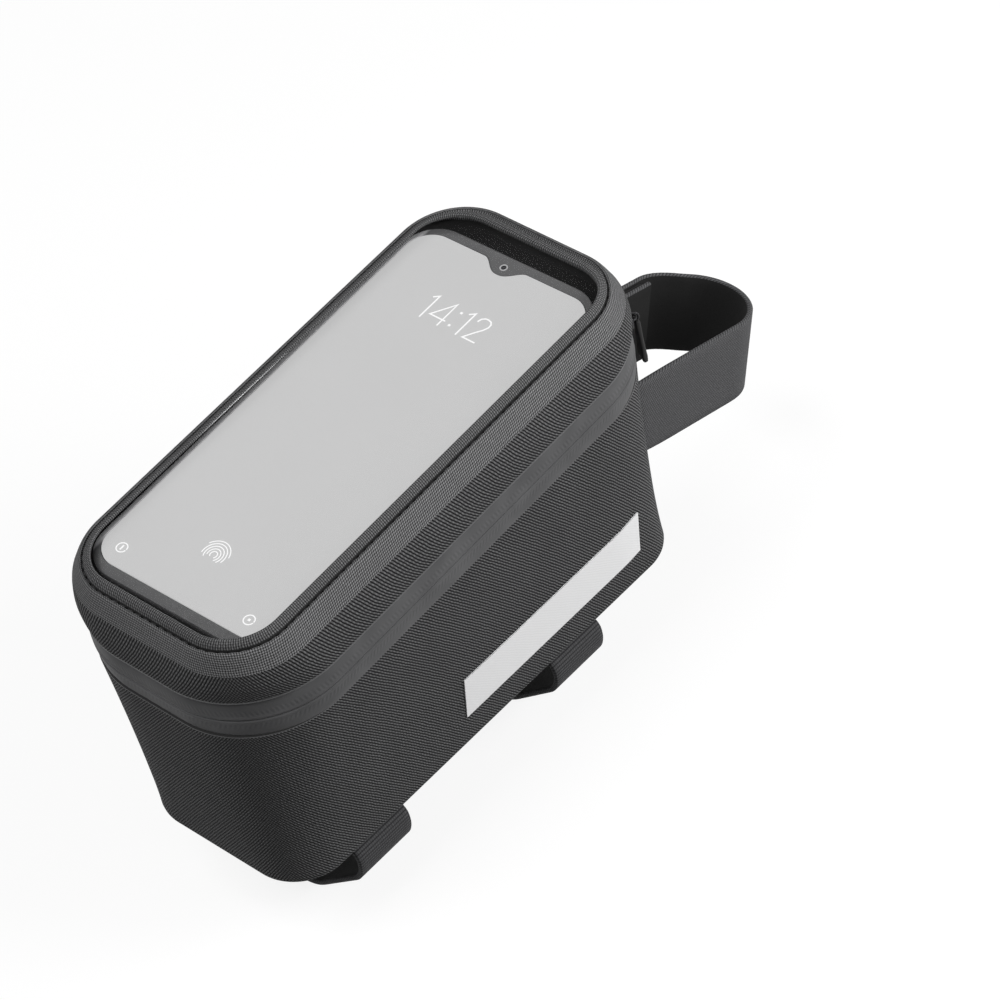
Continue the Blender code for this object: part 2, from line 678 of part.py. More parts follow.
def strap(name, loop, width, lay, first):
    """A hook-and-loop strap: the webbing's turn and the fastening patch between its two layers."""
    flat, normal, lift, places = webbing_turns(loop, first, OVERLAP, LAP_RAMP)
    mesh = swept_strip(name, strap_stations(flat, normal, lift, lift + WEBBING, width, lay))
    add_part(name, mesh, webbing_cloth())
    total = places[-1] - OVERLAP - first
    chosen = places >= first + total + GAP
    low = np.full(chosen.sum(), WEBBING + GAP)
    patch = strap_stations(flat[chosen], normal[chosen], low, low + PATCH, width - 2 * PATCH_INSET, lay)
    add_part(name + "_patch", swept_strip(name + "_patch", patch), black_lining())


def tube_straps():
    """Two straps sewn flat under the base that go round the top tube."""
    half = TUBE_WIDTH / 2
    floor = -TUBE_DEPTH
    half_floor = TUBE_FLOOR_WIDTH / 2
    top = -GAP - WEBBING
    loop = convex_path([
        (half_floor, floor, TUBE_FLOOR_RADIUS),
        (half, -TUBE_SIDE_DROP, TUBE_SIDE_RADIUS),
        (half - STRAP_SET_IN, top, STRAP_BEND),
        (-half + STRAP_SET_IN, top, STRAP_BEND),
        (-half, -TUBE_SIDE_DROP, TUBE_SIDE_RADIUS),
        (-half_floor, floor, TUBE_FLOOR_RADIUS),
    ])
    left_flank = 5 * (ARC_STEPS + 1) - 1
    for place, along in TUBE_STRAP_PLACES.items():
        def lay(across, height, side, middle=along):
            return across, middle - side, height

        strap("tube_strap_" + place, loop, TUBE_STRAP_WIDTH, lay, length_to(loop, left_flank))


def front_wall_y(height):
    """Where the outside of the front wall lies at a height, on the centre line."""
    share = height / (ZIP_HEIGHT + math.tan(LID_SLOPE) * CASE_HALF_Y)
    ring = wall_ring(share, 0.0, 0.0)
    return float(ring[:, 1].max())


def head_strap():
    """Strap sewn to the front wall that goes round the steerer, its ends lapped on the left side."""
    radius = STEERER_DIAMETER / 2
    start = front_wall_y(HEAD_STRAP_HEIGHT - HEAD_STRAP_WIDTH / 2) + GAP

    def lay(across, ahead, side):
        turn = min(max(ahead - WEBBING, 0.0) / HEAD_STRAP_TWIST, 1.0) * HEAD_STRAP_SLOPE
        y = start + ahead * math.cos(HEAD_STRAP_SLOPE) - side * math.sin(turn)
        z = HEAD_STRAP_HEIGHT + ahead * math.sin(HEAD_STRAP_SLOPE) + side * math.cos(turn)
        return across, y, z

    near = WEBBING
    far = STEERER_REACH + radius
    loop = convex_path([
        (radius, near, STRAP_BEND),
        (radius, far, radius * STEERER_ROUND),
        (-radius, far, radius * STEERER_ROUND),
        (-radius, near, STRAP_BEND),
    ])
    left_side = 3 * (ARC_STEPS + 1) - 1
    strap("head_strap", loop, HEAD_STRAP_WIDTH, lay, length_to(loop, left_side))


def reflective_stripes():
    """Reflective tape on both sides of the body, parallel to the base."""
    for side, name in ((1.0, "stripe_right"), (-1.0, "stripe_left")):
        stations = []
        for along in np.linspace(-0.5, 0.5, 9):
            y = STRIPE_CENTRE + STRIPE_LENGTH * along
            column = []
            for height in np.linspace(STRIPE_FOOT, STRIPE_FOOT + STRIPE_HEIGHT, 4):
                column.append((side_wall_x(y, height), y, height))
            stations.append(column)
        grid = np.array(stations)
        inner = grid + np.array([GAP, 0.0, 0.0])
        outer = inner + np.array([STRIPE_THICKNESS, 0.0, 0.0])
        section = np.concatenate([inner, outer[:, ::-1]], axis=1)
        section[:, :, 0] *= side
        bright = material("reflective_tape", (0.72, 0.72, 0.72), 0.4)
        add_part(name, swept_strip(name, section), bright)


def side_wall_x(y, height):
    """Outside of the right wall at a place along the bag and a height."""
    low, high = 0.0, 1.0
    for _ in range(40):
        share = (low + high) / 2
        if share * (ZIP_HEIGHT + math.tan(LID_SLOPE) * (y + LID_SETBACK * share)) < height:
            low = share
        else:
            high = share
    return float(wall_ring(share, 0.0, 0.0)[:, 0].max())


def zip_pull(corner):
    """Pull tab that hangs from the slider's eye, its upper end a ring round the eye's bar."""
    bar_reach = CASE_CORNER + SLIDER_STANDOFF - ZIP_TAPE_INSET + SLIDER_THICKNESS + EYE_REACH - EYE_WIRE / 2
    pivot = empty_at("pull_pivot", (bar_reach * math.cos(SLIDER_ANGLE), bar_reach * math.sin(SLIDER_ANGLE), 0.0),
                     0.0, SLIDER_ANGLE)
    pivot.parent = corner
    shape = bmesh.new()
    bmesh.ops.create_cube(shape, size=1.0)
    bmesh.ops.scale(shape, vec=(PULL_THICKNESS, PULL_WIDTH, PULL_LENGTH), verts=shape.verts)
    drop = EYE_HEIGHT / 2 + GAP + PULL_LENGTH / 2
    bmesh.ops.translate(shape, vec=(0.0, 0.0, -drop), verts=shape.verts)
    bmesh.ops.bevel(shape, geom=list(shape.edges), offset=PULL_EDGE, segments=2, affect="EDGES")
    mesh = bpy.data.meshes.new("zip_pull")
    shape.to_mesh(mesh)
    shape.free()
    add_part("zip_pull", mesh, material("pull_rubber", (0.02, 0.02, 0.02), 0.6), pivot)


clear_scene()
lid_centre = Vector((0.0, -LID_SETBACK, ZIP_HEIGHT))
hinge_point = lid_centre + Matrix.Rotation(LID_SLOPE, 3, "X") @ Vector((0.0, HINGE_Y, 0.0))
lid_hinge = empty_at("lid_hinge", hinge_point, LID_SLOPE)
zip_plane = empty_at("zip_plane", hinge_point, LID_SLOPE)
from_hinge = (0.0, -HINGE_Y, 0.0)
corner_centre = empty_at("zip_corner", (CORNER_X, CORNER_Y - HINGE_Y, 0.0))
corner_centre.parent = zip_plane

band_guide = zip_cutter(zip_plane, from_hinge)
body_wall(band_guide)
base_panel()
front_hinge(zip_plane, from_hinge)
zip_tapes(zip_plane, lid_hinge, from_hinge)
lid_shell(lid_hinge, from_hinge, band_guide)
window_welt(lid_hinge, from_hinge)
window_film(lid_hinge, from_hinge)
phone(lid_hinge, from_hinge)
phone_pocket(lid_hinge, from_hinge)
zip_slider(zip_plane, corner_centre)
zip_pull(corner_centre)
reflective_stripes()
tube_straps()
head_strap()
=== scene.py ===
import bpy
import numpy as np
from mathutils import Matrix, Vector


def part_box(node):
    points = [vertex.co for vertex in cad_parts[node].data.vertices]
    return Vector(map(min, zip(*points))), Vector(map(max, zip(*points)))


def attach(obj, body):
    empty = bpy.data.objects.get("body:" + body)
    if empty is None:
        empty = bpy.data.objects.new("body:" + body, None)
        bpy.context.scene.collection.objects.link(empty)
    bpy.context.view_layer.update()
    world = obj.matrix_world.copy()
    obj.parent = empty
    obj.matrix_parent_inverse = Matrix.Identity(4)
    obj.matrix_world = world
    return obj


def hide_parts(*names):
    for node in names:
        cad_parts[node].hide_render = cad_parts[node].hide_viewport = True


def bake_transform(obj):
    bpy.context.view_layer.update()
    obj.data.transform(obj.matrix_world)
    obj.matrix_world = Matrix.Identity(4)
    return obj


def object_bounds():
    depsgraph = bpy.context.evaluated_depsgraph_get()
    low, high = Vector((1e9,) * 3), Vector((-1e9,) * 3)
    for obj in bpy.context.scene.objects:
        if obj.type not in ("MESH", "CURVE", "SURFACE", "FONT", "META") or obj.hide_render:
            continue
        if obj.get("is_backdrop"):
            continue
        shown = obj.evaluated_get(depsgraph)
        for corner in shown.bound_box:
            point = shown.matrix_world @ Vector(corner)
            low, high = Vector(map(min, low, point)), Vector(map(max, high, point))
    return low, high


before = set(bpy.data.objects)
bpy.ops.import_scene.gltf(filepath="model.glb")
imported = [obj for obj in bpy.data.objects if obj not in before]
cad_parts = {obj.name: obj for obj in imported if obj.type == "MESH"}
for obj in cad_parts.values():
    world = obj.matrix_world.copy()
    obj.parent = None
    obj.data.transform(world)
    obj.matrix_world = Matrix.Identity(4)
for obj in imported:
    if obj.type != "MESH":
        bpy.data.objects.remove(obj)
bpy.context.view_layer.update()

# 1 body
# The body is one padded band that runs round the bag: woven polyester over 3 mm of foam with a black
# lining. It is sewn to the floor at its foot, and its upper edge is folded in and fused along the zip.

MM = 0.001
ZIP_SLOPE = np.radians(3.8)
ZIP_HEIGHT = 85.3 * MM
ZIP_SETBACK = 5.7 * MM
BAND_EDGE = 7.05 * MM
WALL_THICKNESS = 3.5 * MM
FOOT_ROUNDING = 2.5 * MM
HEM_ROUNDING = 0.8 * MM


def put(tree, kind, inputs=(), **settings):
    """A node in a tree: its settings are made, and each input gets a value or is joined to an output."""
    made = tree.nodes.new(kind)
    for key, value in settings.items():
        setattr(made, key, value)
    for key, value in dict(inputs).items():
        if isinstance(value, bpy.types.NodeSocket):
            tree.links.new(value, made.inputs[key])
        else:
            made.inputs[key].default_value = value
    return made


def calc(tree, operation, first, second=0.0, third=0.0):
    """The output of one Math node."""
    return put(tree, "ShaderNodeMath", {0: first, 1: second, 2: third}, operation=operation).outputs[0]


def times(tree, first, second):
    """The product of two values."""
    return calc(tree, "MULTIPLY", first, second)


def noise(tree, vector, scale, detail, output="Fac"):
    """An output of one Noise Texture node."""
    settings = {"Vector": vector, "Scale": scale, "Detail": detail}
    return put(tree, "ShaderNodeTexNoise", settings).outputs[output]


def eased(tree, value, start, stop, first=0.0, last=1.0):
    """A value that goes smoothly from first to last as the given one goes from start to stop."""
    ends = {"Value": value, "From Min": start, "From Max": stop, "To Min": first, "To Max": last}
    return put(tree, "ShaderNodeMapRange", ends, interpolation_type="SMOOTHSTEP").outputs[0]


def emboss(tree, shader, height, distance):
    """Lifts a shader's surface by a height times a distance, through a Bump node."""
    bump = put(tree, "ShaderNodeBump", {"Height": height, "Distance": distance, "Strength": 1.0})
    tree.links.new(bump.outputs[0], shader.inputs["Normal"])


def seen_rays(tree):
    """One for camera, glossy and transmission rays, and nought for the rest."""
    rays = put(tree, "ShaderNodeLightPath").outputs
    mirrored = calc(tree, "MAXIMUM", rays["Is Glossy Ray"], rays["Is Transmission Ray"])
    return calc(tree, "MAXIMUM", rays["Is Camera Ray"], mirrored)


def tint(tree, mask, dark, light):
    """Colour that runs from dark to light as the mask goes from 0 to 1."""
    ramp = put(tree, "ShaderNodeMix", {"Factor": mask, "A": (*dark, 1.0), "B": (*light, 1.0)},
               data_type="RGBA")
    return ramp.outputs["Result"]


def finish(name, roughness, metallic=0.0, specular=0.5, sheen=0.0):
    """A material with its Principled shader's plain values set; returns it with its tree and shader."""
    made = bpy.data.materials.new(name)
    made.use_nodes = True
    shader = made.node_tree.nodes["Principled BSDF"]
    shader.inputs["Roughness"].default_value = roughness
    shader.inputs["Metallic"].default_value = metallic
    shader.inputs["Specular IOR Level"].default_value = specular
    shader.inputs["Sheen Weight"].default_value = sheen
    return made, made.node_tree, shader


def new_group(name, inputs, outputs):
    """An empty shader group with its named sockets; returns the tree, its inputs and its output node."""
    tree = bpy.data.node_groups.new(name, "ShaderNodeTree")
    for label, kind in inputs:
        tree.interface.new_socket(label, in_out="INPUT", socket_type="NodeSocket" + kind)
    for label, kind in outputs:
        tree.interface.new_socket(label, in_out="OUTPUT", socket_type="NodeSocket" + kind)
    return tree, tree.nodes.new("NodeGroupInput").outputs, tree.nodes.new("NodeGroupOutput")


def plain_weave_group():
    """Plain weave: two crossed sets of threads, each a row of half sine bumps a pitch apart.

    Which set lies on top changes from cell to cell with the sign of the product of both sines. Lead
    mixes from the first set, at 0, to the second, at 1, as the one whose ribs show. The threads wander
    a little, and each stretch of thread has its own tone.
    """
    tree, given, out = new_group(
        "plain_weave",
        (("Lay", "Vector"), ("Turn", "Float"), ("Pitch", "Float"), ("Gap", "Color"), ("Rib", "Color"),
         ("Lead", "Float")),
        (("Colour", "Color"), ("Height", "Float"), ("Tone", "Float")),
    )
    wander = noise(tree, given["Lay"], 260.0, 1.0, "Color")
    centred = put(tree, "ShaderNodeVectorMath", {0: wander, 1: (0.5, 0.5, 0.5)},
                  operation="SUBTRACT").outputs[0]
    drift = put(tree, "ShaderNodeVectorMath", {0: centred, "Scale": 0.0005}, operation="SCALE").outputs[0]
    moved = put(tree, "ShaderNodeVectorMath", {0: given["Lay"], 1: drift}, operation="ADD").outputs[0]
    turned = put(tree, "ShaderNodeVectorRotate", {"Vector": moved, "Angle": given["Turn"]},
                 rotation_type="Z_AXIS").outputs[0]
    per_metre = calc(tree, "DIVIDE", float(np.pi), given["Pitch"])
    scaled = put(tree, "ShaderNodeVectorMath", {0: turned, "Scale": per_metre}, operation="SCALE").outputs[0]
    split = put(tree, "ShaderNodeSeparateXYZ", {0: scaled}).outputs
    across = calc(tree, "SINE", split["X"])
    along = calc(tree, "SINE", split["Y"])
    bump_across = calc(tree, "ABSOLUTE", across)
    bump_along = calc(tree, "ABSOLUTE", along)
    product = times(tree, across, along)
    top = eased(tree, product, -0.3, 0.3)
    over = calc(tree, "MULTIPLY_ADD", top, 0.24, 0.76)
    under = calc(tree, "MULTIPLY_ADD", top, -0.24, 1.0)
    first = times(tree, bump_across, under)
    second = times(tree, bump_along, over)
    height = put(tree, "ShaderNodeMix", {"Factor": given["Lead"], "A": first, "B": second}).outputs["Result"]
    fibre = noise(tree, given["Lay"], 1400.0, 2.0)
    patchy = noise(tree, given["Lay"], 45.0, 3.0)
    tone = calc(tree, "ADD", times(tree, fibre, 0.7), times(tree, patchy, 0.3))
    mask = times(tree, calc(tree, "POWER", height, 2.2), calc(tree, "ADD", tone, 0.5))
    colour = put(tree, "ShaderNodeMix", {"Factor": mask, "A": given["Gap"], "B": given["Rib"]},
                 data_type="RGBA").outputs["Result"]
    tree.links.new(colour, out.inputs["Colour"])
    tree.links.new(height, out.inputs["Height"])
    tree.links.new(tone, out.inputs["Tone"])
    return tree


PLAIN_WEAVE = plain_weave_group()


def woven(name, turn, pitch, gap, rib, relief, roughness, lead=0.5, stretch=1.0, specular=0.05):
    """A woven finish laid on the piece's own UV map, in metres, with its threads turned by an angle.

    lead is the share of the second set of threads; without one, the second leads where the piece faces
    left or right and the first where it faces the front or rear: a painted highlight, the set that
    catches the light on each face drawn the brighter.
    stretch scales the map across before the turn, so that the threads of bias cloth stand steeper.
    """
    made, tree, shader = finish(name, roughness, specular=specular)
    lay = put(tree, "ShaderNodeUVMap", uv_map="lay").outputs[0]
    weave = put(tree, "ShaderNodeGroup", node_tree=PLAIN_WEAVE)
    for label, value in (("Turn", turn), ("Pitch", pitch), ("Gap", (*gap, 1.0)), ("Rib", (*rib, 1.0)),
                         ("Lead", lead or 0.5)):
        weave.inputs[label].default_value = value
    if lead is None:
        # With no lead, the facing picks which set of threads is drawn bright: a painted highlight.
        normal = put(tree, "ShaderNodeTexCoord").outputs["Normal"]
        facing_for_painted_highlight = calc(tree, "ABSOLUTE", put(tree, "ShaderNodeSeparateXYZ", {0: normal}).outputs["X"])
        share = eased(tree, facing_for_painted_highlight, 0.3, 0.8, 0.08, 0.92)
        tree.links.new(share, weave.inputs["Lead"])
    drawn = put(tree, "ShaderNodeVectorMath", {0: lay, 1: (stretch, 1.0, 1.0)},
                operation="MULTIPLY").outputs[0]
    tree.links.new(drawn, weave.inputs["Lay"])
    tree.links.new(weave.outputs["Colour"], shader.inputs["Base Color"])
    rough = calc(tree, "MULTIPLY_ADD", weave.outputs["Tone"], 0.2, roughness - 0.1)
    tree.links.new(rough, shader.inputs["Roughness"])
    emboss(tree, shader, weave.outputs["Height"], relief)
    return made


def mottled(name, dark, light, roughness, relief, scale, metallic=0.0, specular=0.2, sheen=0.0):
    """A finish with fine even grain on Object coordinates: a noise tints it, roughens it and lifts it."""
    made, tree, shader = finish(name, roughness, metallic, specular, sheen)
    place = put(tree, "ShaderNodeTexCoord").outputs["Object"]
    grain = noise(tree, place, scale, 4.0)
    broad = noise(tree, place, scale / 14, 2.0)
    both = calc(tree, "ADD", times(tree, grain, 0.6), times(tree, broad, 0.4))
    tree.links.new(tint(tree, both, dark, light), shader.inputs["Base Color"])
    rough = calc(tree, "MULTIPLY_ADD", both, 0.24, roughness - 0.12)
    tree.links.new(rough, shader.inputs["Roughness"])
    emboss(tree, shader, grain, relief)
    return made


def piece(name, points, finishes, looks=0, loops=(False, True), capped=False, crisp=40.0, anchor=None):
    """A mesh over a grid of points (rows, columns, 3): one quad between four neighbours.

    loops joins the last row or column to the first, and capped fills the first and last row. looks is
    the place in finishes of each quad. The UV map "lay" holds metres along the columns and the rows,
    the running sums of the mean distances between neighbours; with an anchor, the sums along a row are
    that row's own and start from the anchor's column. If the signed volume, a sixth of the triple
    products of the triangles, is negative, every face is turned round.
    """
    rows, columns = points.shape[:2]
    row = np.arange(rows if loops[0] else rows - 1)[:, None]
    column = np.arange(columns if loops[1] else columns - 1)[None, :]
    below, above = row * columns, (row + 1) % rows * columns
    right = (column + 1) % columns
    quads = np.stack([below + column, below + right, above + right, above + column], axis=-1).reshape(-1, 4)
    steps = np.linalg.norm(np.roll(points, -1, axis=1) - points, axis=2)
    if anchor is None:
        steps = np.broadcast_to(steps.mean(axis=0), steps.shape)
    u = np.concatenate([np.zeros((rows, 1)), np.cumsum(steps, axis=1)], axis=1)
    u = u[np.arange(rows + 1) % rows] - u[np.arange(rows + 1) % rows, anchor or 0][:, None]
    climbs = np.linalg.norm(np.roll(points, -1, axis=0) - points, axis=2).mean(axis=1)
    v = np.concatenate([[0.0], np.cumsum(climbs)])
    shape = (len(row), column.shape[1])
    lay = np.stack([
        np.stack([u[row + r, column + c], np.broadcast_to(v[row + r], shape)], axis=-1)
        for r, c in ((0, 0), (0, 1), (1, 1), (1, 0))
    ], axis=2).reshape(-1, 4, 2)
    look = np.broadcast_to(looks, shape).reshape(-1)
    flat = points.reshape(-1, 3)
    a, b, c, d = (flat[quads[:, i]] for i in range(4))
    volume = np.einsum("ij,ij->", a, np.cross(b, c)) + np.einsum("ij,ij->", a, np.cross(c, d))
    ends = []
    if capped:
        ends = [np.arange(columns)[::-1], np.arange(columns) + (rows - 1) * columns]
        for ring in ends:
            volume += np.einsum("ij,ij->", np.broadcast_to(flat[ring[0]], (columns - 2, 3)),
                                np.cross(flat[ring[1:-1]], flat[ring[2:]]))
    if volume < 0:
        quads, lay, ends = quads[:, ::-1], lay[:, ::-1], [ring[::-1] for ring in ends]
    faces = quads.tolist() + [ring.tolist() for ring in ends]
    mesh = bpy.data.meshes.new(name)
    mesh.from_pydata(flat.tolist(), [], faces)
    layer = mesh.uv_layers.new(name="lay")
    layer.data.foreach_set("uv", np.concatenate([lay.reshape(-1), np.zeros(2 * columns * len(ends))]))
    look = np.concatenate([look, np.zeros(len(ends), int)])
    mesh.polygons.foreach_set("material_index", look.astype(np.int32))
    return stand(name, mesh, finishes, crisp)


def stand(name, mesh, finishes, crisp=40.0):
    """The object of a mesh, shaded smooth except over edges sharper than crisp degrees."""
    for surface in finishes:
        mesh.materials.append(surface)
    mesh.shade_smooth()
    mesh.set_sharp_from_angle(angle=np.radians(crisp))
    made = bpy.data.objects.new(name, mesh)
    bpy.context.collection.objects.link(made)
    return made


def run(count, first, last):
    """Evenly spaced values from first up to, but not including, last."""
    share = np.arange(count)[:, None] / count
    return np.array(first) * (1 - share) + np.array(last) * share


QUARTER = np.pi / 2


def lap(front, corner, side):
    """Places once round a rounded rectangle, anticlockwise from the middle of its front end.

    A place is (across, along, turn): the corner centre it belongs to, as shares from -1 to 1, and its
    outward angle. A straight run goes between two centres at one angle, a corner turns at one centre.
    """
    return np.vstack([
        run(front, (0, 1, QUARTER), (-1, 1, QUARTER)),
        run(corner, (-1, 1, QUARTER), (-1, 1, 2 * QUARTER)),
        run(side, (-1, 1, 2 * QUARTER), (-1, -1, 2 * QUARTER)),
        run(corner, (-1, -1, 2 * QUARTER), (-1, -1, 3 * QUARTER)),
        run(2 * front, (-1, -1, 3 * QUARTER), (1, -1, 3 * QUARTER)),
        run(corner, (1, -1, 3 * QUARTER), (1, -1, 4 * QUARTER)),
        run(side, (1, -1, 4 * QUARTER), (1, 1, 4 * QUARTER)),
        run(corner, (1, 1, 4 * QUARTER), (1, 1, 5 * QUARTER)),
        run(front, (1, 1, 5 * QUARTER), (0, 1, 5 * QUARTER)),
    ]).T


def rounded(places, half_x, half_y, radius):
    """Points of a rounded rectangle: the corner's centre, plus the radius along the outward angle."""
    across, along, turn = places
    x = across * (half_x - radius) + radius * np.cos(turn)
    y = along * (half_y - radius) + radius * np.sin(turn)
    return x, y


def wall_points(places, share, inset, lift):
    """The wall at a share of its height.

    The base's outline grows to the case's outline with share to the power 1.55, bellies by a half sine
    and loses the inset. It is set back and raised along the slanted plane of the zip.
    """
    eased = share ** 1.55
    belly = 0.3 * MM * np.sin(np.pi * share) - inset
    x, y = rounded(places, (34.0 + 9.5 * eased) * MM + belly, (88.75 + 3.75 * eased) * MM + belly,
                   (17.0 + 16.0 * share) * MM - inset)
    height = share * (ZIP_HEIGHT + np.tan(ZIP_SLOPE) * y) + lift
    return np.stack([x, y - ZIP_SETBACK * share, height], axis=-1)


def top_share(places, below):
    """Share of the height at which the wall ends, a distance below the plane of the zip."""
    across, along, turn = places
    y = along * 59.5 * MM + 33.0 * MM * np.sin(turn)
    return 1.0 - below / (ZIP_HEIGHT + np.tan(ZIP_SLOPE) * y)


def foot_lift(share):
    """The foot's rounding lifts the lowest quarter of the wall, less and less."""
    return FOOT_ROUNDING * np.clip(1.0 - share / 0.25, 0.0, 1.0)


def swell_by_cloth(front, corner, side, rows, pressure, cap):
    """How far air pressure pushes the wall's outer fabric out, in metres, on a coarse grid.

    The fabric is a closed band whose inner face, foot, hem and sewn-on strap are pinned. Blender's
    cloth is stepped over 20 frames, and what each point moves along its own outward normal is capped.
    """
    places = lap(front, corner, side)
    share = np.linspace(0.0, 1.0, rows)[:, None] * top_share(places, BAND_EDGE + HEM_ROUNDING)
    outer = wall_points(places, share, 0.0, foot_lift(share))
    inner = wall_points(places, share, WALL_THICKNESS, foot_lift(share))[::-1]
    points = np.concatenate([outer, inner])
    pad = piece("wall_cloth", points, [], loops=(True, True))
    strap_place = (np.abs(outer[..., 0]) < 19 * MM) & (np.abs(outer[..., 2] - 41 * MM) < 16 * MM)
    sewn = strap_place & (outer[..., 1] > 0)
    loose = np.zeros(points.shape[:2], bool)
    loose[1:rows - 1] = ~sewn[1:-1]
    pins = pad.vertex_groups.new(name="pinned")
    pins.add(np.flatnonzero(~loose.reshape(-1)).tolist(), 1.0, "REPLACE")
    cloth = pad.modifiers.new("cloth", "CLOTH")
    cloth.settings.vertex_group_mass = "pinned"
    cloth.settings.mass = 0.05
    cloth.settings.tension_stiffness = 30.0
    cloth.settings.compression_stiffness = 30.0
    cloth.settings.bending_stiffness = 4.0
    cloth.settings.use_pressure = True
    cloth.settings.uniform_pressure_force = pressure
    cloth.settings.effector_weights.gravity = 0.0
    cloth.point_cache.frame_end = 20
    for number in range(1, 21):
        bpy.context.scene.frame_set(number)
    done = pad.evaluated_get(bpy.context.evaluated_depsgraph_get())
    moved = np.empty(points.size)
    done.data.vertices.foreach_get("co", moved)
    moved = moved.reshape(points.shape)[:rows] - outer
    normal = np.cross(np.roll(outer, -1, axis=1) - np.roll(outer, 1, axis=1), np.gradient(outer, axis=0))
    normal /= np.linalg.norm(normal, axis=2, keepdims=True)
    bpy.data.objects.remove(pad, do_unlink=True)
    bpy.context.scene.frame_set(1)
    swell = np.einsum("ijk,ijk->ij", moved, normal)
    return np.clip(swell, -cap / 4, cap)


def resampled(grid, row_at, column_at):
    """Values of a grid at fractional rows and columns, in straight lines between points; columns go round."""
    rows, columns = grid.shape
    row = np.clip(row_at, 0, rows - 1.000001)
    low, left = np.floor(row).astype(int), np.floor(column_at).astype(int)
    up, right = row - low, column_at - left
    left, beyond = left % columns, (left + 1) % columns
    lower = grid[low, left] * (1 - right) + grid[low, beyond] * right
    upper = grid[low + 1, left] * (1 - right) + grid[low + 1, beyond] * right
    return lower * (1 - up) + upper * up


def softened(grid, times):
    """Each value becomes half itself and a quarter of both neighbours, round the columns and up the rows."""
    for _ in range(times):
        grid = grid / 2 + (np.roll(grid, 1, axis=1) + np.roll(grid, -1, axis=1)) / 4
        padded = np.pad(grid, ((1, 1), (0, 0)), mode="edge")
        grid = padded[1:-1] / 2 + (padded[:-2] + padded[2:]) / 4
    return grid


# case_weave has no lead, so which thread set shows bright on each face is a painted highlight.
case_weave = woven("case_weave", np.radians(45), 1.08 * MM, (0.003, 0.003, 0.0033), (0.19, 0.19, 0.193),
                   0.26 * MM, 0.72, lead=None, stretch=1.5)
lining = mottled("lining", (0.008, 0.008, 0.008), (0.02, 0.02, 0.02), 0.85, 0.05 * MM, 2200.0, specular=0.3)
fused_edge = mottled("fused_edge", (0.06, 0.06, 0.062), (0.14, 0.14, 0.143), 0.5, 0.05 * MM, 1500.0)

COARSE = (5, 17, 48)
COARSE_ROWS = 23
FINE = 2
ROW_STEPS = 3
coarse_swell = swell_by_cloth(*COARSE, COARSE_ROWS, 4.0, 0.9 * MM)

wall_places = lap(*(FINE * count for count in COARSE))
wall_rows = ROW_STEPS * (COARSE_ROWS - 1) + 1
row_at = np.arange(wall_rows)[:, None] / ROW_STEPS
column_at = np.arange(wall_places.shape[1])[None, :] / FINE
wall_swell = softened(resampled(coarse_swell, row_at, column_at), 3)
wall_swell *= np.clip(np.minimum(row_at, COARSE_ROWS - 1 - row_at) / 1.5, 0.0, 1.0)

climb = np.linspace(0.0, 1.0, wall_rows)[:, None] * top_share(wall_places, BAND_EDGE + HEM_ROUNDING)
foot_turn = np.linspace(0.0, QUARTER, 6)[:-1, None]
hem_turn = np.linspace(0.0, QUARTER, 5)[1:, None]
hem_share = top_share(wall_places, BAND_EDGE + HEM_ROUNDING)[None, :]
outer_foot = wall_points(wall_places, 0 * foot_turn, FOOT_ROUNDING * (1 - np.sin(foot_turn)),
                         FOOT_ROUNDING * (1 - np.cos(foot_turn)))
outer_wall = wall_points(wall_places, climb, -wall_swell, foot_lift(climb))
outer_hem = wall_points(wall_places, hem_share, HEM_ROUNDING * (1 - np.cos(hem_turn)),
                        HEM_ROUNDING * np.sin(hem_turn))
inner_hem = wall_points(wall_places, hem_share, WALL_THICKNESS - HEM_ROUNDING * (1 - np.cos(hem_turn[::-1])),
                        HEM_ROUNDING * np.sin(hem_turn[::-1]))
inner_wall = wall_points(wall_places, climb[::-4], WALL_THICKNESS, foot_lift(climb[::-4]))
inner_foot = wall_points(wall_places, np.zeros((1, 1)), WALL_THICKNESS, 0.0)
body_points = np.concatenate([outer_foot, outer_wall, outer_hem, inner_hem, inner_wall, inner_foot])
body_look = np.ones(len(body_points), int)
body_look[:len(outer_foot) + wall_rows - 1] = 0
body_look[len(outer_foot) + wall_rows - 1] = 2
body = piece("body_fabric", body_points, [case_weave, lining, fused_edge], body_look[:, None],
             loops=(True, True), anchor=FINE * (3 * COARSE[0] + 2 * COARSE[1] + COARSE[2] + COARSE[1] // 2))
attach(body, "bag")
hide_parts("body_wall")

# 2 floor
# The floor is a stiff plastic board in a black cover, glued and sewn inside the foot of the wall. Its
# underside is what faces the bicycle's tube.


def dress(node, surface):
    """Gives a solid of the frame its finish."""
    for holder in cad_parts[node].material_slots:
        holder.material = surface


floor_cover = mottled("floor_cover", (0.01, 0.01, 0.01), (0.03, 0.03, 0.031), 0.75, 0.12 * MM, 900.0)
dress("base_panel", floor_cover)

# 3 zip tapes
# Two coated tapes hide the coil of a reverse zip. They are smooth and matte, stand a little proud over
# the coil and meet lip to lip in the middle; the lower is sewn in the body and the upper in the lid.

CASE = (43.5 * MM, 92.5 * MM, 33.0 * MM)
ZIP_END = np.radians(78.0)


def on_lid(x, y, z):
    """Points of the lid's own frame brought to the bag: turned up by the slope about X, then set in place."""
    x, y, z = np.broadcast_arrays(x, y, z)
    cos, sin = np.cos(ZIP_SLOPE), np.sin(ZIP_SLOPE)
    return np.stack([x, cos * y - sin * z - ZIP_SETBACK, sin * y + cos * z + ZIP_HEIGHT], axis=-1)


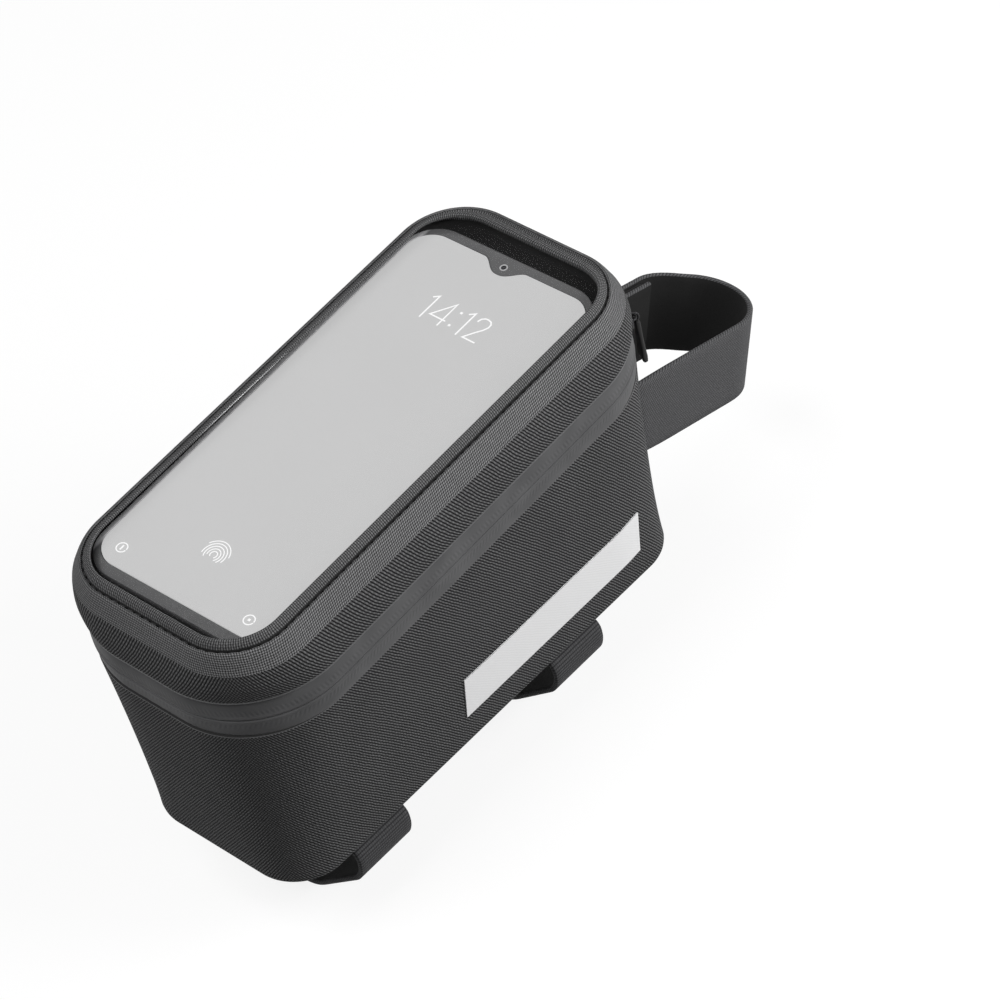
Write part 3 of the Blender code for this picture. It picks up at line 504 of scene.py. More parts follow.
def zip_places(end, corner, side, rear):
    """Places along the zip: from the front right corner back, round the rear and to the front left corner."""
    legs = [
        run(corner, (1, 1, end), (1, 1, 0)),
        run(side, (1, 1, 0), (1, -1, 0)),
        run(corner, (1, -1, 0), (1, -1, -QUARTER)),
        run(rear, (1, -1, -QUARTER), (-1, -1, -QUARTER)),
        run(corner, (-1, -1, -QUARTER), (-1, -1, -2 * QUARTER)),
        run(side, (-1, -1, -2 * QUARTER), (-1, 1, -2 * QUARTER)),
        run(corner, (-1, 1, -2 * QUARTER), (-1, 1, -2 * QUARTER - end)),
        np.array([(-1, 1, -2 * QUARTER - end)]),
    ]
    return np.vstack(legs).T


def along_zip(places, inset, height):
    """Points at an inset from the case's outline and a height over the plane of the zip."""
    half_x, half_y, radius = CASE
    x, y = rounded(places, half_x - inset, half_y - inset, radius - inset)
    return on_lid(x, y, height)


def coated_finish():
    """Matte coated tape: a fine grain, and slanted marks where the coil presses from behind near the lip."""
    made, tree, shader = finish("coated_tape", 0.52, specular=0.06)
    lay = put(tree, "ShaderNodeUVMap", uv_map="lay").outputs[0]
    split = put(tree, "ShaderNodeSeparateXYZ", {0: lay}).outputs
    across, along = split["X"], split["Y"]
    slant = calc(tree, "ADD", along, times(tree, across, 0.35))
    wave = calc(tree, "SINE", times(tree, slant, float(2 * np.pi / (1.4 * MM))))
    near = eased(tree, across, 3.2 * MM, 4.4 * MM)
    far = eased(tree, across, 5.6 * MM, 6.2 * MM, 1.0, 0.0)
    worn = noise(tree, lay, 420.0, 2.0)
    marks = times(tree, times(tree, near, far), times(tree, wave, worn))
    grain = noise(tree, lay, 1800.0, 3.0)
    broad = noise(tree, lay, 70.0, 2.0)
    tone = calc(tree, "ADD", times(tree, broad, 0.7), times(tree, marks, 0.2))
    tree.links.new(tint(tree, tone, (0.063, 0.063, 0.065), (0.17, 0.17, 0.173)), shader.inputs["Base Color"])
    height = calc(tree, "ADD", times(tree, marks, 0.6), times(tree, grain, 0.3))
    emboss(tree, shader, height, 0.06 * MM)
    return made


coated = coated_finish()
tape_run = zip_places(ZIP_END - 0.6 * MM / CASE[2], 36, 96, 20)
TAPE_SECTION = np.array([
    (1.15, 7.3), (0.92, 7.2), (0.6, 6.2), (0.44, 5.2), (0.34, 4.2), (0.26, 3.2), (0.22, 2.3), (0.22, 1.6),
    (0.08, 1.25), (0.04, 0.8), (0.12, 0.4), (0.4, 0.16), (1.0, 0.12), (1.28, 0.3), (1.38, 0.7), (1.4, 1.8),
    (1.42, 4.2), (1.45, 7.25),
]) * MM
for side, name, node, carrier in ((-1, "tape_lower", "zip_tape_lower", "bag"),
                                  (1, "tape_upper", "zip_tape_upper", "lid")):
    section = np.array([along_zip(tape_run, inset, side * height) for inset, height in TAPE_SECTION])
    tape = piece(name, section.transpose(1, 0, 2), [coated], loops=(False, True), capped=True)
    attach(tape, carrier)
    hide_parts(node)

# 4 zip coils
# Each row of teeth is one nylon wire wound in a long coil and sewn behind its tape. The stops are small
# moulded blocks that end the lower row on both sides.

COIL_PITCH = 1.4 * MM
COIL_STEPS = 9
WIRE = 0.24 * MM


def coil(name, side, finishes):
    """A wire wound along the zip.

    Its middle goes round an ellipse, 0.5 mm by 0.75 mm, once every pitch along the run, and the wire is
    a six-sided tube about it: a ring in the plane of the outward direction and the run's cross direction.
    """
    fine = zip_places(ZIP_END - 4.6 * MM / CASE[2], 60, 40, 10)
    middle = along_zip(fine, 2.65 * MM, side * 1.3 * MM)
    length = np.concatenate([[0.0], np.cumsum(np.linalg.norm(np.diff(middle, axis=0), axis=1))])
    turns = int(length[-1] / COIL_PITCH)
    at = np.linspace(0.0, length[-1], turns * COIL_STEPS)
    places = np.array([np.interp(at, length, row) for row in fine])
    angle = 2 * np.pi * at / COIL_PITCH
    inset = 2.65 * MM + 0.5 * MM * np.cos(angle)
    height = side * (1.3 * MM + 0.75 * MM * np.sin(angle))
    wire = along_zip(places, inset, height)
    ahead = np.gradient(wire, axis=0)
    ahead /= np.linalg.norm(ahead, axis=1, keepdims=True)
    outward = wire - along_zip(places, 2.65 * MM, side * 1.3 * MM)
    outward -= np.einsum("ij,ij->i", outward, ahead)[:, None] * ahead
    outward /= np.linalg.norm(outward, axis=1, keepdims=True)
    beside = np.cross(ahead, outward)
    ring = np.linspace(0.0, 2 * np.pi, 6, endpoint=False)[None, :, None]
    tube = wire[:, None] + WIRE * (np.cos(ring) * outward[:, None] + np.sin(ring) * beside[:, None])
    return piece(name, tube, finishes, loops=(False, True), capped=True, crisp=80.0)


nylon = mottled("coil_nylon", (0.012, 0.012, 0.012), (0.03, 0.03, 0.03), 0.4, 0.03 * MM, 1600.0)
for side, name, node, carrier in ((-1, "coil_lower", "zip_coil_lower", "bag"),
                                  (1, "coil_upper", "zip_coil_upper", "lid")):
    teeth = coil(name, side, [nylon])
    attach(teeth, carrier)
    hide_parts(node)
dress("zip_stop_left", nylon)
dress("zip_stop_right", nylon)

# 5 lid
# The lid is a moulded foam shell in the same woven fabric. Its side leans in from the zip to a creased
# crest, a soft roll runs from there to the stitched groove round the window, and it is lined in black.


def rim(reach, drop):
    """Outline at a reach out from the window's edge and a drop from the lid's top.

    It is (half x, half y, radius, z) in millimetres.
    """
    share = reach / 8.6
    return (32.1 + reach, 82.9 + 7.0 * share, 15.0 + 9.0 * share, 27.8 - drop)


def smooth_through(controls, steps):
    """A smooth curve through rows of controls: a Catmull-Rom spline, steps points from each to the next."""
    controls = np.array(controls, float)
    ends = np.vstack([2 * controls[:1] - controls[1:2], controls, 2 * controls[-1:] - controls[-2:-1]])
    share = (np.arange(steps) / steps)[None, :, None]
    a, b, c, d = (ends[i:len(ends) - 3 + i, None] for i in range(4))
    curve = b + 0.5 * share * (c - a + share * (2 * a - 5 * b + 4 * c - d + share * (3 * (b - c) + d - a)))
    return np.vstack([curve.reshape(-1, controls.shape[1]), controls[-1:]])


def lid_rings(places, outlines):
    """Rings of the lid, a rounded rectangle for each (half x, half y, radius, z) in millimetres."""
    half_x, half_y, radius, height = (np.array(outlines).T * MM)[:, :, None]
    x, y = rounded(places, half_x, half_y, radius)
    return on_lid(x, y, height)


# The roll's ribs are paler than the body's: partly its own lighter weave, partly a painted sheen of the
# crest.
rim_weave_and_painted_sheen = woven("rim_weave_and_painted_sheen", 0.0, 0.74 * MM, (0.012, 0.012, 0.0125), (0.36, 0.36, 0.366), 0.2 * MM, 0.7,
                  lead=0.45)
lid_places = lap(10, 36, 100)
edge = HEM_ROUNDING / MM
lid_hem = [(43.5 - drawn, 92.5 - drawn, 33.0 - drawn, 7.05 + rise)
           for drawn, rise in ((edge * (1 - np.cos(turn)), edge * (1 - np.sin(turn)))
                               for turn in np.linspace(QUARTER, 0.0, 5)[:-1])]
lid_side = smooth_through([(43.5, 92.5, 33.0, 7.85), (43.45, 92.42, 31.4, 10.2), (42.8, 91.85, 28.5, 13.6),
                           (41.75, 90.85, 26.0, 17.0), (40.75, 89.95, 24.0, 19.3)], 5)[:-1]
lid_roll = smooth_through([rim(8.65, 8.5), rim(7.75, 6.9), rim(6.85, 5.3), rim(5.85, 3.75), rim(4.9, 2.7),
                           rim(4.25, 2.66), rim(3.95, 3.15), rim(3.9, 3.8)], 4)
lid_lip = [rim(3.72, 4.5), (36.6, 85.9, 18.0, 23.3), (36.6, 85.9, 18.0, 18.0), (36.6, 85.9, 18.0, 13.05),
           (40.0, 89.0, 29.5, 7.3), (40.3, 89.3, 29.8, 7.05)]
lid_outline = np.vstack([lid_hem, lid_side, lid_roll, lid_lip])
lid_points = lid_rings(lid_places, lid_outline)
lid_look = np.ones(len(lid_points), int)
lid_look[len(lid_hem) - 1:len(lid_hem) + 1] = 2
lid_look[len(lid_hem) + 1:len(lid_hem) + len(lid_side)] = 0
lid_look[len(lid_hem) + len(lid_side):len(lid_hem) + len(lid_side) + len(lid_roll) - 4] = 3
lid = piece("lid_fabric", lid_points, [case_weave, lining, fused_edge, rim_weave_and_painted_sheen], lid_look[:, None],
            loops=(True, True), crisp=60.0, anchor=3 * 10 + 2 * 36 + 100 + 18)
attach(lid, "lid")
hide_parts("lid_shell")

# 6 window welt
# A narrow bound tape edges the window, ribbed across its width. It is sewn through the groove beside it,
# with one thread stitch every 3 mm.

welt_weave = woven("welt_weave", 0.0, 0.7 * MM, (0.01, 0.01, 0.0105), (0.25, 0.25, 0.254), 0.14 * MM, 0.68,
                   lead=0.3)
WELT_SECTION = np.array([
    (3.4, 3.8), (3.42, 3.0), (3.35, 2.3), (3.05, 1.6), (2.6, 1.0), (2.1, 0.55), (1.6, 0.28), (1.2, 0.28),
    (0.95, 0.55), (0.9, 0.9), (1.0, 1.25), (1.5, 1.6), (2.2, 2.1), (2.6, 2.9), (2.7, 3.8),
])


def welt_points(places):
    """Rings of the welt: its lip is drawn in at both ends of the window, hangs deeper at the front end,
    and is pressed down at the front and along the left, nowhere deeper than the film.
    """
    reach, drop = WELT_SECTION[:, :1], WELT_SECTION[:, 1:]
    ahead = np.clip(np.sin(places[2]), 0.0, 1.0) ** 2
    aside = np.clip(-np.cos(places[2]), 0.0, 1.0) ** 2
    drawn = (0.9 + 0.8 * ahead) * np.clip((2.8 - reach) / 1.9, 0.0, 1.0)
    x, y = rounded(places, (32.1 + reach) * MM, (82.9 + 0.81 * reach - drawn) * MM,
                   (15.0 + 1.05 * reach - drawn / 2) * MM)
    hang = 1.5 * ahead * (np.arange(len(reach))[:, None] > 9) * np.clip((3.0 - reach) / 1.5, 0.0, 1.0)
    pressed = (1.9 * ahead + 1.0 * aside) * np.clip((3.4 - reach) / 0.8, 0.0, 1.0)
    return on_lid(x, y, (27.8 - np.minimum(drop + hang + pressed, 4.0)) * MM)


welt_look = np.where((np.arange(len(WELT_SECTION)) < 2) | (np.arange(len(WELT_SECTION)) > 9), 1, 0)[:, None]
welt = piece("welt", welt_points(lap(10, 30, 100)), [welt_weave, lining], welt_look, loops=(True, True),
             crisp=60.0)
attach(welt, "lid")
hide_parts("window_welt")


def stitches(name, centres, ahead, up, length, width, finishes):
    """Thread stitches as one mesh: each is a spindle of five rings of six points.

    A ring lies at a share from -1 to 1 of half the length, and its radius is half the width times the
    root of one minus that share squared; the ring is squashed to two thirds along up.
    """
    count = len(centres)
    ahead = ahead / np.linalg.norm(ahead, axis=1, keepdims=True)
    up = up - np.einsum("ij,ij->i", up, ahead)[:, None] * ahead
    up = up / np.linalg.norm(up, axis=1, keepdims=True)
    beside = np.cross(up, ahead)
    share = np.array([-0.985, -0.75, 0.0, 0.75, 0.985])[None, :, None, None]
    ring = np.linspace(0.0, 2 * np.pi, 6, endpoint=False)[None, None, :, None]
    swell = width / 2 * np.sqrt(1 - share ** 2)
    axes = [axis[:, None, None] for axis in (ahead, beside, up)]
    points = (centres[:, None, None] + share * length / 2 * axes[0]
              + swell * (np.cos(ring) * axes[1] + 0.67 * np.sin(ring) * axes[2]))
    row, column = np.arange(4)[:, None], np.arange(6)[None, :]
    near, far = row * 6 + column, row * 6 + (column + 1) % 6
    one = np.stack([near, far, far + 6, near + 6], axis=-1).reshape(-1, 4)
    faces = (one[None] + 30 * np.arange(count)[:, None, None]).reshape(-1, 4).tolist()
    caps = 30 * np.arange(count)[:, None]
    faces += (caps + np.arange(6)[::-1]).tolist() + (caps + 24 + np.arange(6)).tolist()
    mesh = bpy.data.meshes.new(name)
    mesh.from_pydata(points.reshape(-1, 3).tolist(), [], faces)
    return stand(name, mesh, finishes, 80.0)


thread = mottled("thread", (0.02, 0.02, 0.021), (0.07, 0.07, 0.072), 0.7, 0.03 * MM, 3000.0)
seam_places = lap(160, 480, 1500)
seam_path = lid_rings(seam_places, [rim(3.66, 3.15)])[0]
seam_up = lid_rings(seam_places, [rim(3.66, 2.15)])[0] - seam_path
seam_legs = np.linalg.norm(np.roll(seam_path, -1, axis=0) - seam_path, axis=1)
seam_length = np.concatenate([[0.0], np.cumsum(seam_legs)])
seam_count = int(seam_length[-1] / (3.0 * MM))
seam_at = (np.arange(seam_count) + 0.5) * seam_length[-1] / seam_count
seam_index = np.searchsorted(seam_length, seam_at) % len(seam_path)
seam_ahead = (np.roll(seam_path, -3, axis=0) - seam_path)[seam_index]
seam = stitches("groove_stitches", seam_path[seam_index], seam_ahead, seam_up[seam_index], 2.3 * MM,
                0.42 * MM, [thread])
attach(seam, "lid")

# 7 window film
# The window is a clear plastic film, 0.4 mm thick, sewn in under the welt. It bows up a little in the
# middle, is faintly hazed and greyed at glancing angles as a painted reflection, and along its left edge
# a fold of it stands under the welt, coloured near white as a painted glint.


def filled(places, outlines, bow=0.0, rings=14, dip=None):
    """A flat plate: a ring for each outline and then the face inside the last one.

    The face is the last ring drawn in towards the middle in even shares, lifted by bow times one minus
    the share squared. dip is taken off y where given, as a notch's depth for each place.
    """
    half_x, half_y, radius, height = (np.array(outlines).T * MM)[:, :, None]
    x, y = rounded(places, half_x, half_y, radius)
    if dip is not None:
        y = y - dip(x)
    share = np.linspace(1.0, 0.02, rings)[:, None]
    foot = np.linspace(0.02, 1.0, 4)[:-1, None]
    x = np.concatenate([foot * x[0], x, share[1:] * x[-1]])
    y = np.concatenate([foot * y[0], y, share[1:] * y[-1]])
    z = np.concatenate([height[0] + 0 * foot, height, height[-1] + bow * (1 - share[1:] ** 2)])
    return x, y, z


def film_finish():
    """Clear film: nearly all light passes, with a faint uneven haze, and a grey share that grows at glancing
    angles as a painted reflection.
    """
    made, tree, shader = finish("clear_film", 0.07, specular=0.6)
    place = put(tree, "ShaderNodeTexCoord").outputs["Object"]
    haze = noise(tree, place, 26.0, 3.0)
    speck = noise(tree, place, 900.0, 2.0)
    facing = put(tree, "ShaderNodeLayerWeight", {"Blend": 0.3}).outputs["Facing"]
    # The facing share greys the film at glancing angles: a painted reflection.
    alpha = calc(tree, "ADD", times(tree, haze, 0.02), times(tree, facing, 0.05))
    tree.links.new(alpha, shader.inputs["Alpha"])
    tree.links.new(tint(tree, speck, (0.24, 0.24, 0.245), (0.3, 0.3, 0.305)), shader.inputs["Base Color"])
    return made


clear_film = film_finish()
film_places = lap(8, 24, 60)
film_x, film_y, film_z = filled(film_places, [rim(3.2, 4.5), rim(3.2, 4.1)], 0.25 * MM)
film = piece("film", on_lid(film_x, film_y, film_z), [clear_film], loops=(False, True), capped=True)
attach(film, "lid")
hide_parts("window_film")

fold_y = np.linspace(-50.0, 30.0, 81)[:, None] * MM
fold_thick = 0.24 * MM * np.sin(np.pi * (fold_y + 50.0 * MM) / (80.0 * MM)) ** 0.35 + 0.01 * MM
fold_turn = np.linspace(0.0, 2 * np.pi, 8, endpoint=False)[None, :]
# The fold is coloured near white: a painted glint of the film's folded edge under the welt.
fold_painted_glint = mottled("film_fold_painted_glint", (0.72, 0.73, 0.74), (0.9, 0.9, 0.91), 0.2, 0.002 * MM, 800.0, specular=0.8)
fold_x = -33.25 * MM + fold_thick * np.cos(fold_turn)
fold_z = 26.1 * MM + fold_thick * np.sin(fold_turn)
fold = piece("film_fold_painted_glint", on_lid(fold_x, fold_y, fold_z), [fold_painted_glint], loops=(False, True), capped=True)
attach(fold, "lid")

# 8 phone
# The handset lies under the film: a dark metal and glass back shell, a grey front panel whose display
# has a drop-shaped notch, and the camera in it.

PHONE_AT = (-0.45 * MM, -1.5 * MM)
PHONE_ASKEW = np.radians(0.6)
SCREEN_FORWARD = 0.2 * MM


def in_pocket(x, y, z):
    """Points of the phone's own frame put in the lid: turned a little askew in its pocket, then moved."""
    cos, sin = np.cos(PHONE_ASKEW), np.sin(PHONE_ASKEW)
    return on_lid(cos * x - sin * y + PHONE_AT[0], sin * x + cos * y + PHONE_AT[1], z)


NOTCH_AT = -1.4 * MM


def notch_dip(x):
    """The notch's depth across the display's front end.

    4.3 mm times one minus the offset's share of 8.4 mm to the power 2.4, all to the power 2.6: round at
    the bottom and flowing out at both shoulders.
    """
    return 4.3 * MM * (1 - np.clip(np.abs(x - NOTCH_AT) / (8.4 * MM), 0.0, 1.0) ** 2.4) ** 2.6


def phone_rings(places, outlines):
    """Rings of the phone in its own frame: (half x, half y, radius, z) in millimetres."""
    half_x, half_y, radius, height = (np.array(outlines).T * MM)[:, :, None]
    x, y = rounded(places, half_x, half_y, radius)
    return x, y, height + 0 * x


shell_metal = mottled("phone_shell", (0.04, 0.04, 0.043), (0.07, 0.07, 0.074), 0.35, 0.01 * MM, 1800.0,
                      metallic=0.5)


def front_finish():
    """Grey glass of the front panel: a fine grain, and a painted reflection that makes the left border pale,
    where it is seen at a slant.
    """
    made, tree, shader = finish("front_panel", 0.24, specular=0.4)
    place = put(tree, "ShaderNodeTexCoord").outputs["Object"]
    grain = noise(tree, place, 300.0, 2.0)
    x = put(tree, "ShaderNodeSeparateXYZ", {0: place}).outputs["X"]
    # The left border's pale colour is a painted reflection.
    painted_reflection_border = eased(tree, x, -31.6 * MM, -33.2 * MM)
    plain = tint(tree, grain, (0.075, 0.075, 0.077), (0.1, 0.1, 0.102))
    both = put(tree, "ShaderNodeMix", {"Factor": painted_reflection_border, "A": plain, "B": (0.6, 0.6, 0.61, 1.0)},
               data_type="RGBA")
    tree.links.new(both.outputs["Result"], shader.inputs["Base Color"])
    return made


panel_grey_and_painted_reflection = front_finish()
lens_dark = mottled("lens_glass", (0.006, 0.006, 0.008), (0.016, 0.016, 0.02), 0.16, 0.002 * MM, 700.0)

phone_places = lap(90, 20, 40)
shell_x, shell_y, shell_z = filled(phone_places, [
    (32.4, 75.15, 9.6, 14.8), (33.9, 76.65, 11.0, 15.05), (34.75, 77.5, 11.75, 15.9),
    (35.0, 77.75, 12.0, 17.2), (35.0, 77.75, 12.0, 21.35)])
shell = piece("phone_back", in_pocket(shell_x, shell_y, shell_z), [shell_metal], loops=(False, True),
              capped=True)
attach(shell, "lid")
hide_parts("phone_body")
outer = phone_rings(phone_places, [
    (35.0, 77.75, 12.0, 21.4), (35.0, 77.75, 12.0, 22.4), (34.82, 77.57, 11.82, 22.82),
    (34.4, 77.15, 11.4, 23.0)])
inner = phone_rings(phone_places, [(33.3, 74.3, 8.8, 23.0), (33.3, 74.3, 8.8, 22.1), (33.3, 74.3, 8.8, 21.4)])
inner[1][...] += SCREEN_FORWARD - notch_dip(inner[0]) * (phone_places[1] > 0.99)
panel = piece("front_panel", in_pocket(*(np.vstack(both) for both in zip(outer, inner))), [panel_grey_and_painted_reflection],
              loops=(True, True))
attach(panel, "lid")
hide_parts("phone_front")


lens_turn = np.linspace(0.0, 2 * np.pi, 32, endpoint=False)[None, :]
lens_profile = np.array([(0.1, 22.6), (1.25, 22.6), (1.3, 23.0), (1.25, 23.08), (1.0, 23.1), (0.85, 23.04),
                         (0.7, 23.07), (0.4, 23.12), (0.05, 23.14)]) * MM
lens_x = NOTCH_AT + lens_profile[:, :1] * np.cos(lens_turn)
lens_y = SCREEN_FORWARD + 73.0 * MM + lens_profile[:, :1] * np.sin(lens_turn)
lens_ring = mottled("lens_ring", (0.42, 0.42, 0.425), (0.52, 0.52, 0.525), 0.3, 0.002 * MM, 900.0)
lens_look = np.where(np.arange(len(lens_profile)) >= 5, 1, 0)[:-1, None]
lens = piece("camera_lens", in_pocket(lens_x, lens_y, lens_profile[:, 1:]), [lens_ring, lens_dark], lens_look,
             loops=(False, True), capped=True)
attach(lens, "lid")
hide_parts("phone_camera_lens")


def lit_finish(name, level, spread):
    """A lit surface: it gives most of its colour as light, the same all over but for a faint unevenness."""
    made, tree, shader = finish(name, 0.3)
    place = put(tree, "ShaderNodeTexCoord").outputs["Object"]
    cloud = noise(tree, place, 22.0, 1.0)
    low, high = level - spread, level + spread
    tree.links.new(tint(tree, cloud, (low, low, low), (high, high, high * 1.005)),
                   shader.inputs["Emission Color"])
    shader.inputs["Emission Strength"].default_value = 1.0
    shader.inputs["Base Color"].default_value = (0.06, 0.06, 0.06, 1.0)
    return made


lit_display = lit_finish("lit_display", 0.49, 0.01)
at_front = phone_places[1] > 0.99
display_x, display_y, display_z = filled(phone_places, [(33.0, 74.0, 8.5, 22.4), (33.0, 74.0, 8.5, 23.0)],
                                         dip=lambda x: notch_dip(x) * at_front)
display = piece("display", in_pocket(display_x, display_y + SCREEN_FORWARD, display_z), [lit_display],
                loops=(False, True), capped=True)
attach(display, "lid")
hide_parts("phone_screen")

# 9 clock and marks on the display
# What the display shows: a plain clock in thin strokes, the rings of a finger mark, and two small round
# marks at the lower corners. They are thin bright lines just over the glass.

INK_TOP = 23.09 * MM
INK_FOOT = 23.02 * MM
CLOCK = (
    ((-13.0, 51.6), (-11.3, 52.9), (-11.3, 43.3)),
    ((-3.4, 45.9), (-9.3, 45.9), (-4.5, 52.9), (-4.5, 43.3)),
    ((0.9, 51.6), (2.6, 52.9), (2.6, 43.3)),
    ((5.0, 50.7), (5.3, 52.0), (6.3, 52.8), (7.4, 52.95), (8.6, 52.6), (9.3, 51.7), (9.35, 50.5), (8.7, 49.0),
     (7.2, 47.0), (5.0, 43.7), (9.7, 43.7)),
)


def stroke(points, width):
    """A flat line as thick as ink: the path pushed to both sides by half the width, mitred at its bends."""
    path = np.array(points, float) * MM
    leg = np.diff(path, axis=0)
    leg /= np.linalg.norm(leg, axis=1, keepdims=True)
    side = np.column_stack([-leg[:, 1], leg[:, 0]])
    mean = np.vstack([side[:1], side[:-1] + side[1:], side[-1:]])
    mean /= np.linalg.norm(mean, axis=1, keepdims=True)
    facing = np.vstack([side[:1], side])
    reach = width / 2 / np.clip(np.einsum("ij,ij->i", mean, facing), 0.4, 1.0)
    left, right = path + mean * reach[:, None], path - mean * reach[:, None]
    corners = np.stack([left, right, right, left], axis=1)
    height = np.broadcast_to(np.array([INK_FOOT, INK_FOOT, INK_TOP, INK_TOP]), corners.shape[:2])
    return on_lid(corners[..., 0], corners[..., 1], height)


ink = lit_finish("bright_ink", 0.9, 0.02)


def ink_piece(name, points, width=0.46 * MM):
    """One stroke on the display."""
    made = piece(name, stroke(points, width), [ink], loops=(False, True), capped=True, crisp=20.0)
    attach(made, "lid")


def arc(centre, radius, start, stop, steps=24, tall=1.0):
    """Points of an arc round a centre, in millimetres."""
    angle = np.radians(np.linspace(start, stop, steps))
    return np.column_stack([centre[0] + radius * np.cos(angle), centre[1] + tall * radius * np.sin(angle)])


for index, digit in enumerate(CLOCK):
    ink_piece("clock_digit_%d" % index, digit)
for index, height in enumerate((50.9, 45.3)):
    ink_piece("clock_dot_%d" % index, ((-1.75, height), (-0.95, height)), 0.8 * MM)
FINGER_RINGS = ((4.7, 15, 150), (3.8, -15, 195), (2.9, -35, 215), (2.0, -50, 200), (1.1, -50, 230))
for index, (radius, start, stop) in enumerate(FINGER_RINGS):
    ink_piece("finger_ring_%d" % index, arc((-1.0, -57.4), radius, start, stop, tall=1.1), 0.3 * MM)
ink_piece("corner_mark_left", arc((-25.5, -69.5), 1.7, 0, 350), 0.36 * MM)
ink_piece("corner_mark_stem", ((-25.5, -70.4), (-25.5, -68.6)), 0.5 * MM)
ink_piece("corner_mark_right", arc((23.8, -69.5), 1.7, 0, 350), 0.36 * MM)
ink_piece("corner_mark_dot", ((23.4, -69.5), (24.2, -69.5)), 0.8 * MM)

# 10 pocket
# A thin black cloth panel sewn to the lid's lining carries the phone. Its rear end is open, so the phone
# slides in there, and the free edge is folded over in a hem.

POCKET = (36.65 * MM, 85.95 * MM, 18.05 * MM)
POCKET_MOUTH = -65.6 * MM
POCKET_TOP = 14.5 * MM


def pocket_width(y):
    """Half the panel's width at a place along the lid: full up to the round front corners, then their arc."""
    half_x, half_y, radius = POCKET
    past = np.clip(y - (half_y - radius), 0.0, radius)
    return half_x - radius + np.sqrt(radius ** 2 - past ** 2)


pocket_cloth = mottled("pocket_cloth", (0.003, 0.003, 0.003), (0.009, 0.009, 0.009), 0.9, 0.04 * MM, 2600.0,
                       specular=0.1)
pocket_y = np.concatenate([POCKET_MOUTH + np.array([0.0, 0.1, 0.3, 0.7, 3.0, 5.6, 6.0, 6.4]) * MM,
                           np.linspace(POCKET_MOUTH + 9 * MM, 66 * MM, 30),
                           67.9 * MM + 18.05 * MM * np.sin(np.linspace(0.0, QUARTER, 14))])[:, None]
pocket_x = np.linspace(-1.0, 1.0, 41)[None, :] * pocket_width(pocket_y)
from_mouth = pocket_y - POCKET_MOUTH
sag = 0.9 * MM * np.exp(-from_mouth / (14 * MM)) * (1 - (pocket_x / POCKET[0]) ** 2)
hem_round = np.sqrt(1 - (1 - np.clip(from_mouth / (0.7 * MM), 0.02, 1.0)) ** 2)
pocket_thick = (0.75 + 0.45 * np.clip((6.4 * MM - from_mouth) / (0.8 * MM), 0.0, 1.0)) * MM * hem_round
pocket_middle = POCKET_TOP - 0.6 * MM - sag
pocket_above = on_lid(pocket_x, pocket_y, pocket_middle + pocket_thick / 2)
pocket_below = on_lid(pocket_x, pocket_y, pocket_middle - pocket_thick / 2)[:, ::-1]
pocket = piece("pocket_cloth", np.concatenate([pocket_above, pocket_below], axis=1), [pocket_cloth],
               loops=(False, True), capped=True, crisp=60.0)
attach(pocket, "lid")
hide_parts("phone_pocket")

# 11 slider and pull
# The slider is a small die-cast body, painted black, that runs outside the tapes. Its bail holds a moulded
# rubber pull with grip ribs, which hangs beside the front right corner.

SLIDER_ANGLE = np.radians(64.0)
CORNER_AT = (10.5 * MM, 59.5 * MM)


def pebble(half, rounding, steps=(14, 20)):
    """A rounded block: the directions of a sphere, each pushed out by a box's core and then by the rounding.

    Grid of latitude rows and longitude columns; the core is the half sizes less the rounding, and a
    direction steeper than the core's edge is cut off at that edge.
    """
    lat = np.linspace(-QUARTER + 0.02, QUARTER - 0.02, steps[0])[:, None]
    lon = np.linspace(0.0, 2 * np.pi, steps[1], endpoint=False)[None, :] + np.pi / steps[1]
    way = np.stack([np.cos(lat) * np.cos(lon), np.cos(lat) * np.sin(lon), np.sin(lat) + 0 * lon], axis=-1)
    core = np.array(half) - rounding
    return np.clip(way * 9 * np.max(half), -core, core) + rounding * way


def round_corner(points):
    """Bends local points round the zip's front right corner: X along the arc, Y outwards, Z up."""
    reach = CASE[2] + points[..., 1]
    angle = SLIDER_ANGLE + points[..., 0] / CASE[2]
    return on_lid(CORNER_AT[0] + reach * np.cos(angle), CORNER_AT[1] + reach * np.sin(angle), points[..., 2])


slider_paint = mottled("slider_paint", (0.012, 0.012, 0.013), (0.03, 0.03, 0.032), 0.32, 0.02 * MM, 1300.0,
                       metallic=0.6)
grip_rubber = mottled("grip_rubber", (0.012, 0.012, 0.012), (0.028, 0.028, 0.028), 0.6, 0.04 * MM, 2000.0)
plate_block = pebble((3.25 * MM, 0.5 * MM, 2.1 * MM), 0.42 * MM) + np.array([0.0, 1.3 * MM, 0.0])
plate_block[..., 0] *= 1.0 - 0.16 * (plate_block[..., 2] / (2.1 * MM)) ** 2
slider = piece("slider_plate", round_corner(plate_block), [slider_paint], loops=(False, True), capped=True)
foot_block = pebble((1.4 * MM, 0.42 * MM, 0.85 * MM), 0.2 * MM) + np.array([0.0, 0.45 * MM, -1.15 * MM])
foot = piece("slider_foot", round_corner(foot_block), [slider_paint], loops=(False, True), capped=True)
bail_turn = np.linspace(0.0, np.pi, 17)
bail_y = 1.75 * MM + 1.7 * MM * np.sin(bail_turn) ** 0.7
bail_path = np.stack([1.35 * MM * np.cos(bail_turn), bail_y, 0 * bail_turn], axis=-1)
bail_out = np.stack([np.cos(bail_turn), np.sin(bail_turn), 0 * bail_turn], axis=-1)
bail_ring = np.linspace(0.0, 2 * np.pi, 10, endpoint=False)[None, :, None]
bail_tube = bail_path[:, None] + 0.36 * MM * (np.cos(bail_ring) * bail_out[:, None]
                                              + np.sin(bail_ring) * np.array([0.0, 0.0, 1.0]))
bail = piece("slider_bail", round_corner(bail_tube), [slider_paint], loops=(False, True), capped=True)
for part in (slider, foot, bail):
    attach(part, "slider")
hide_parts("zip_slider")

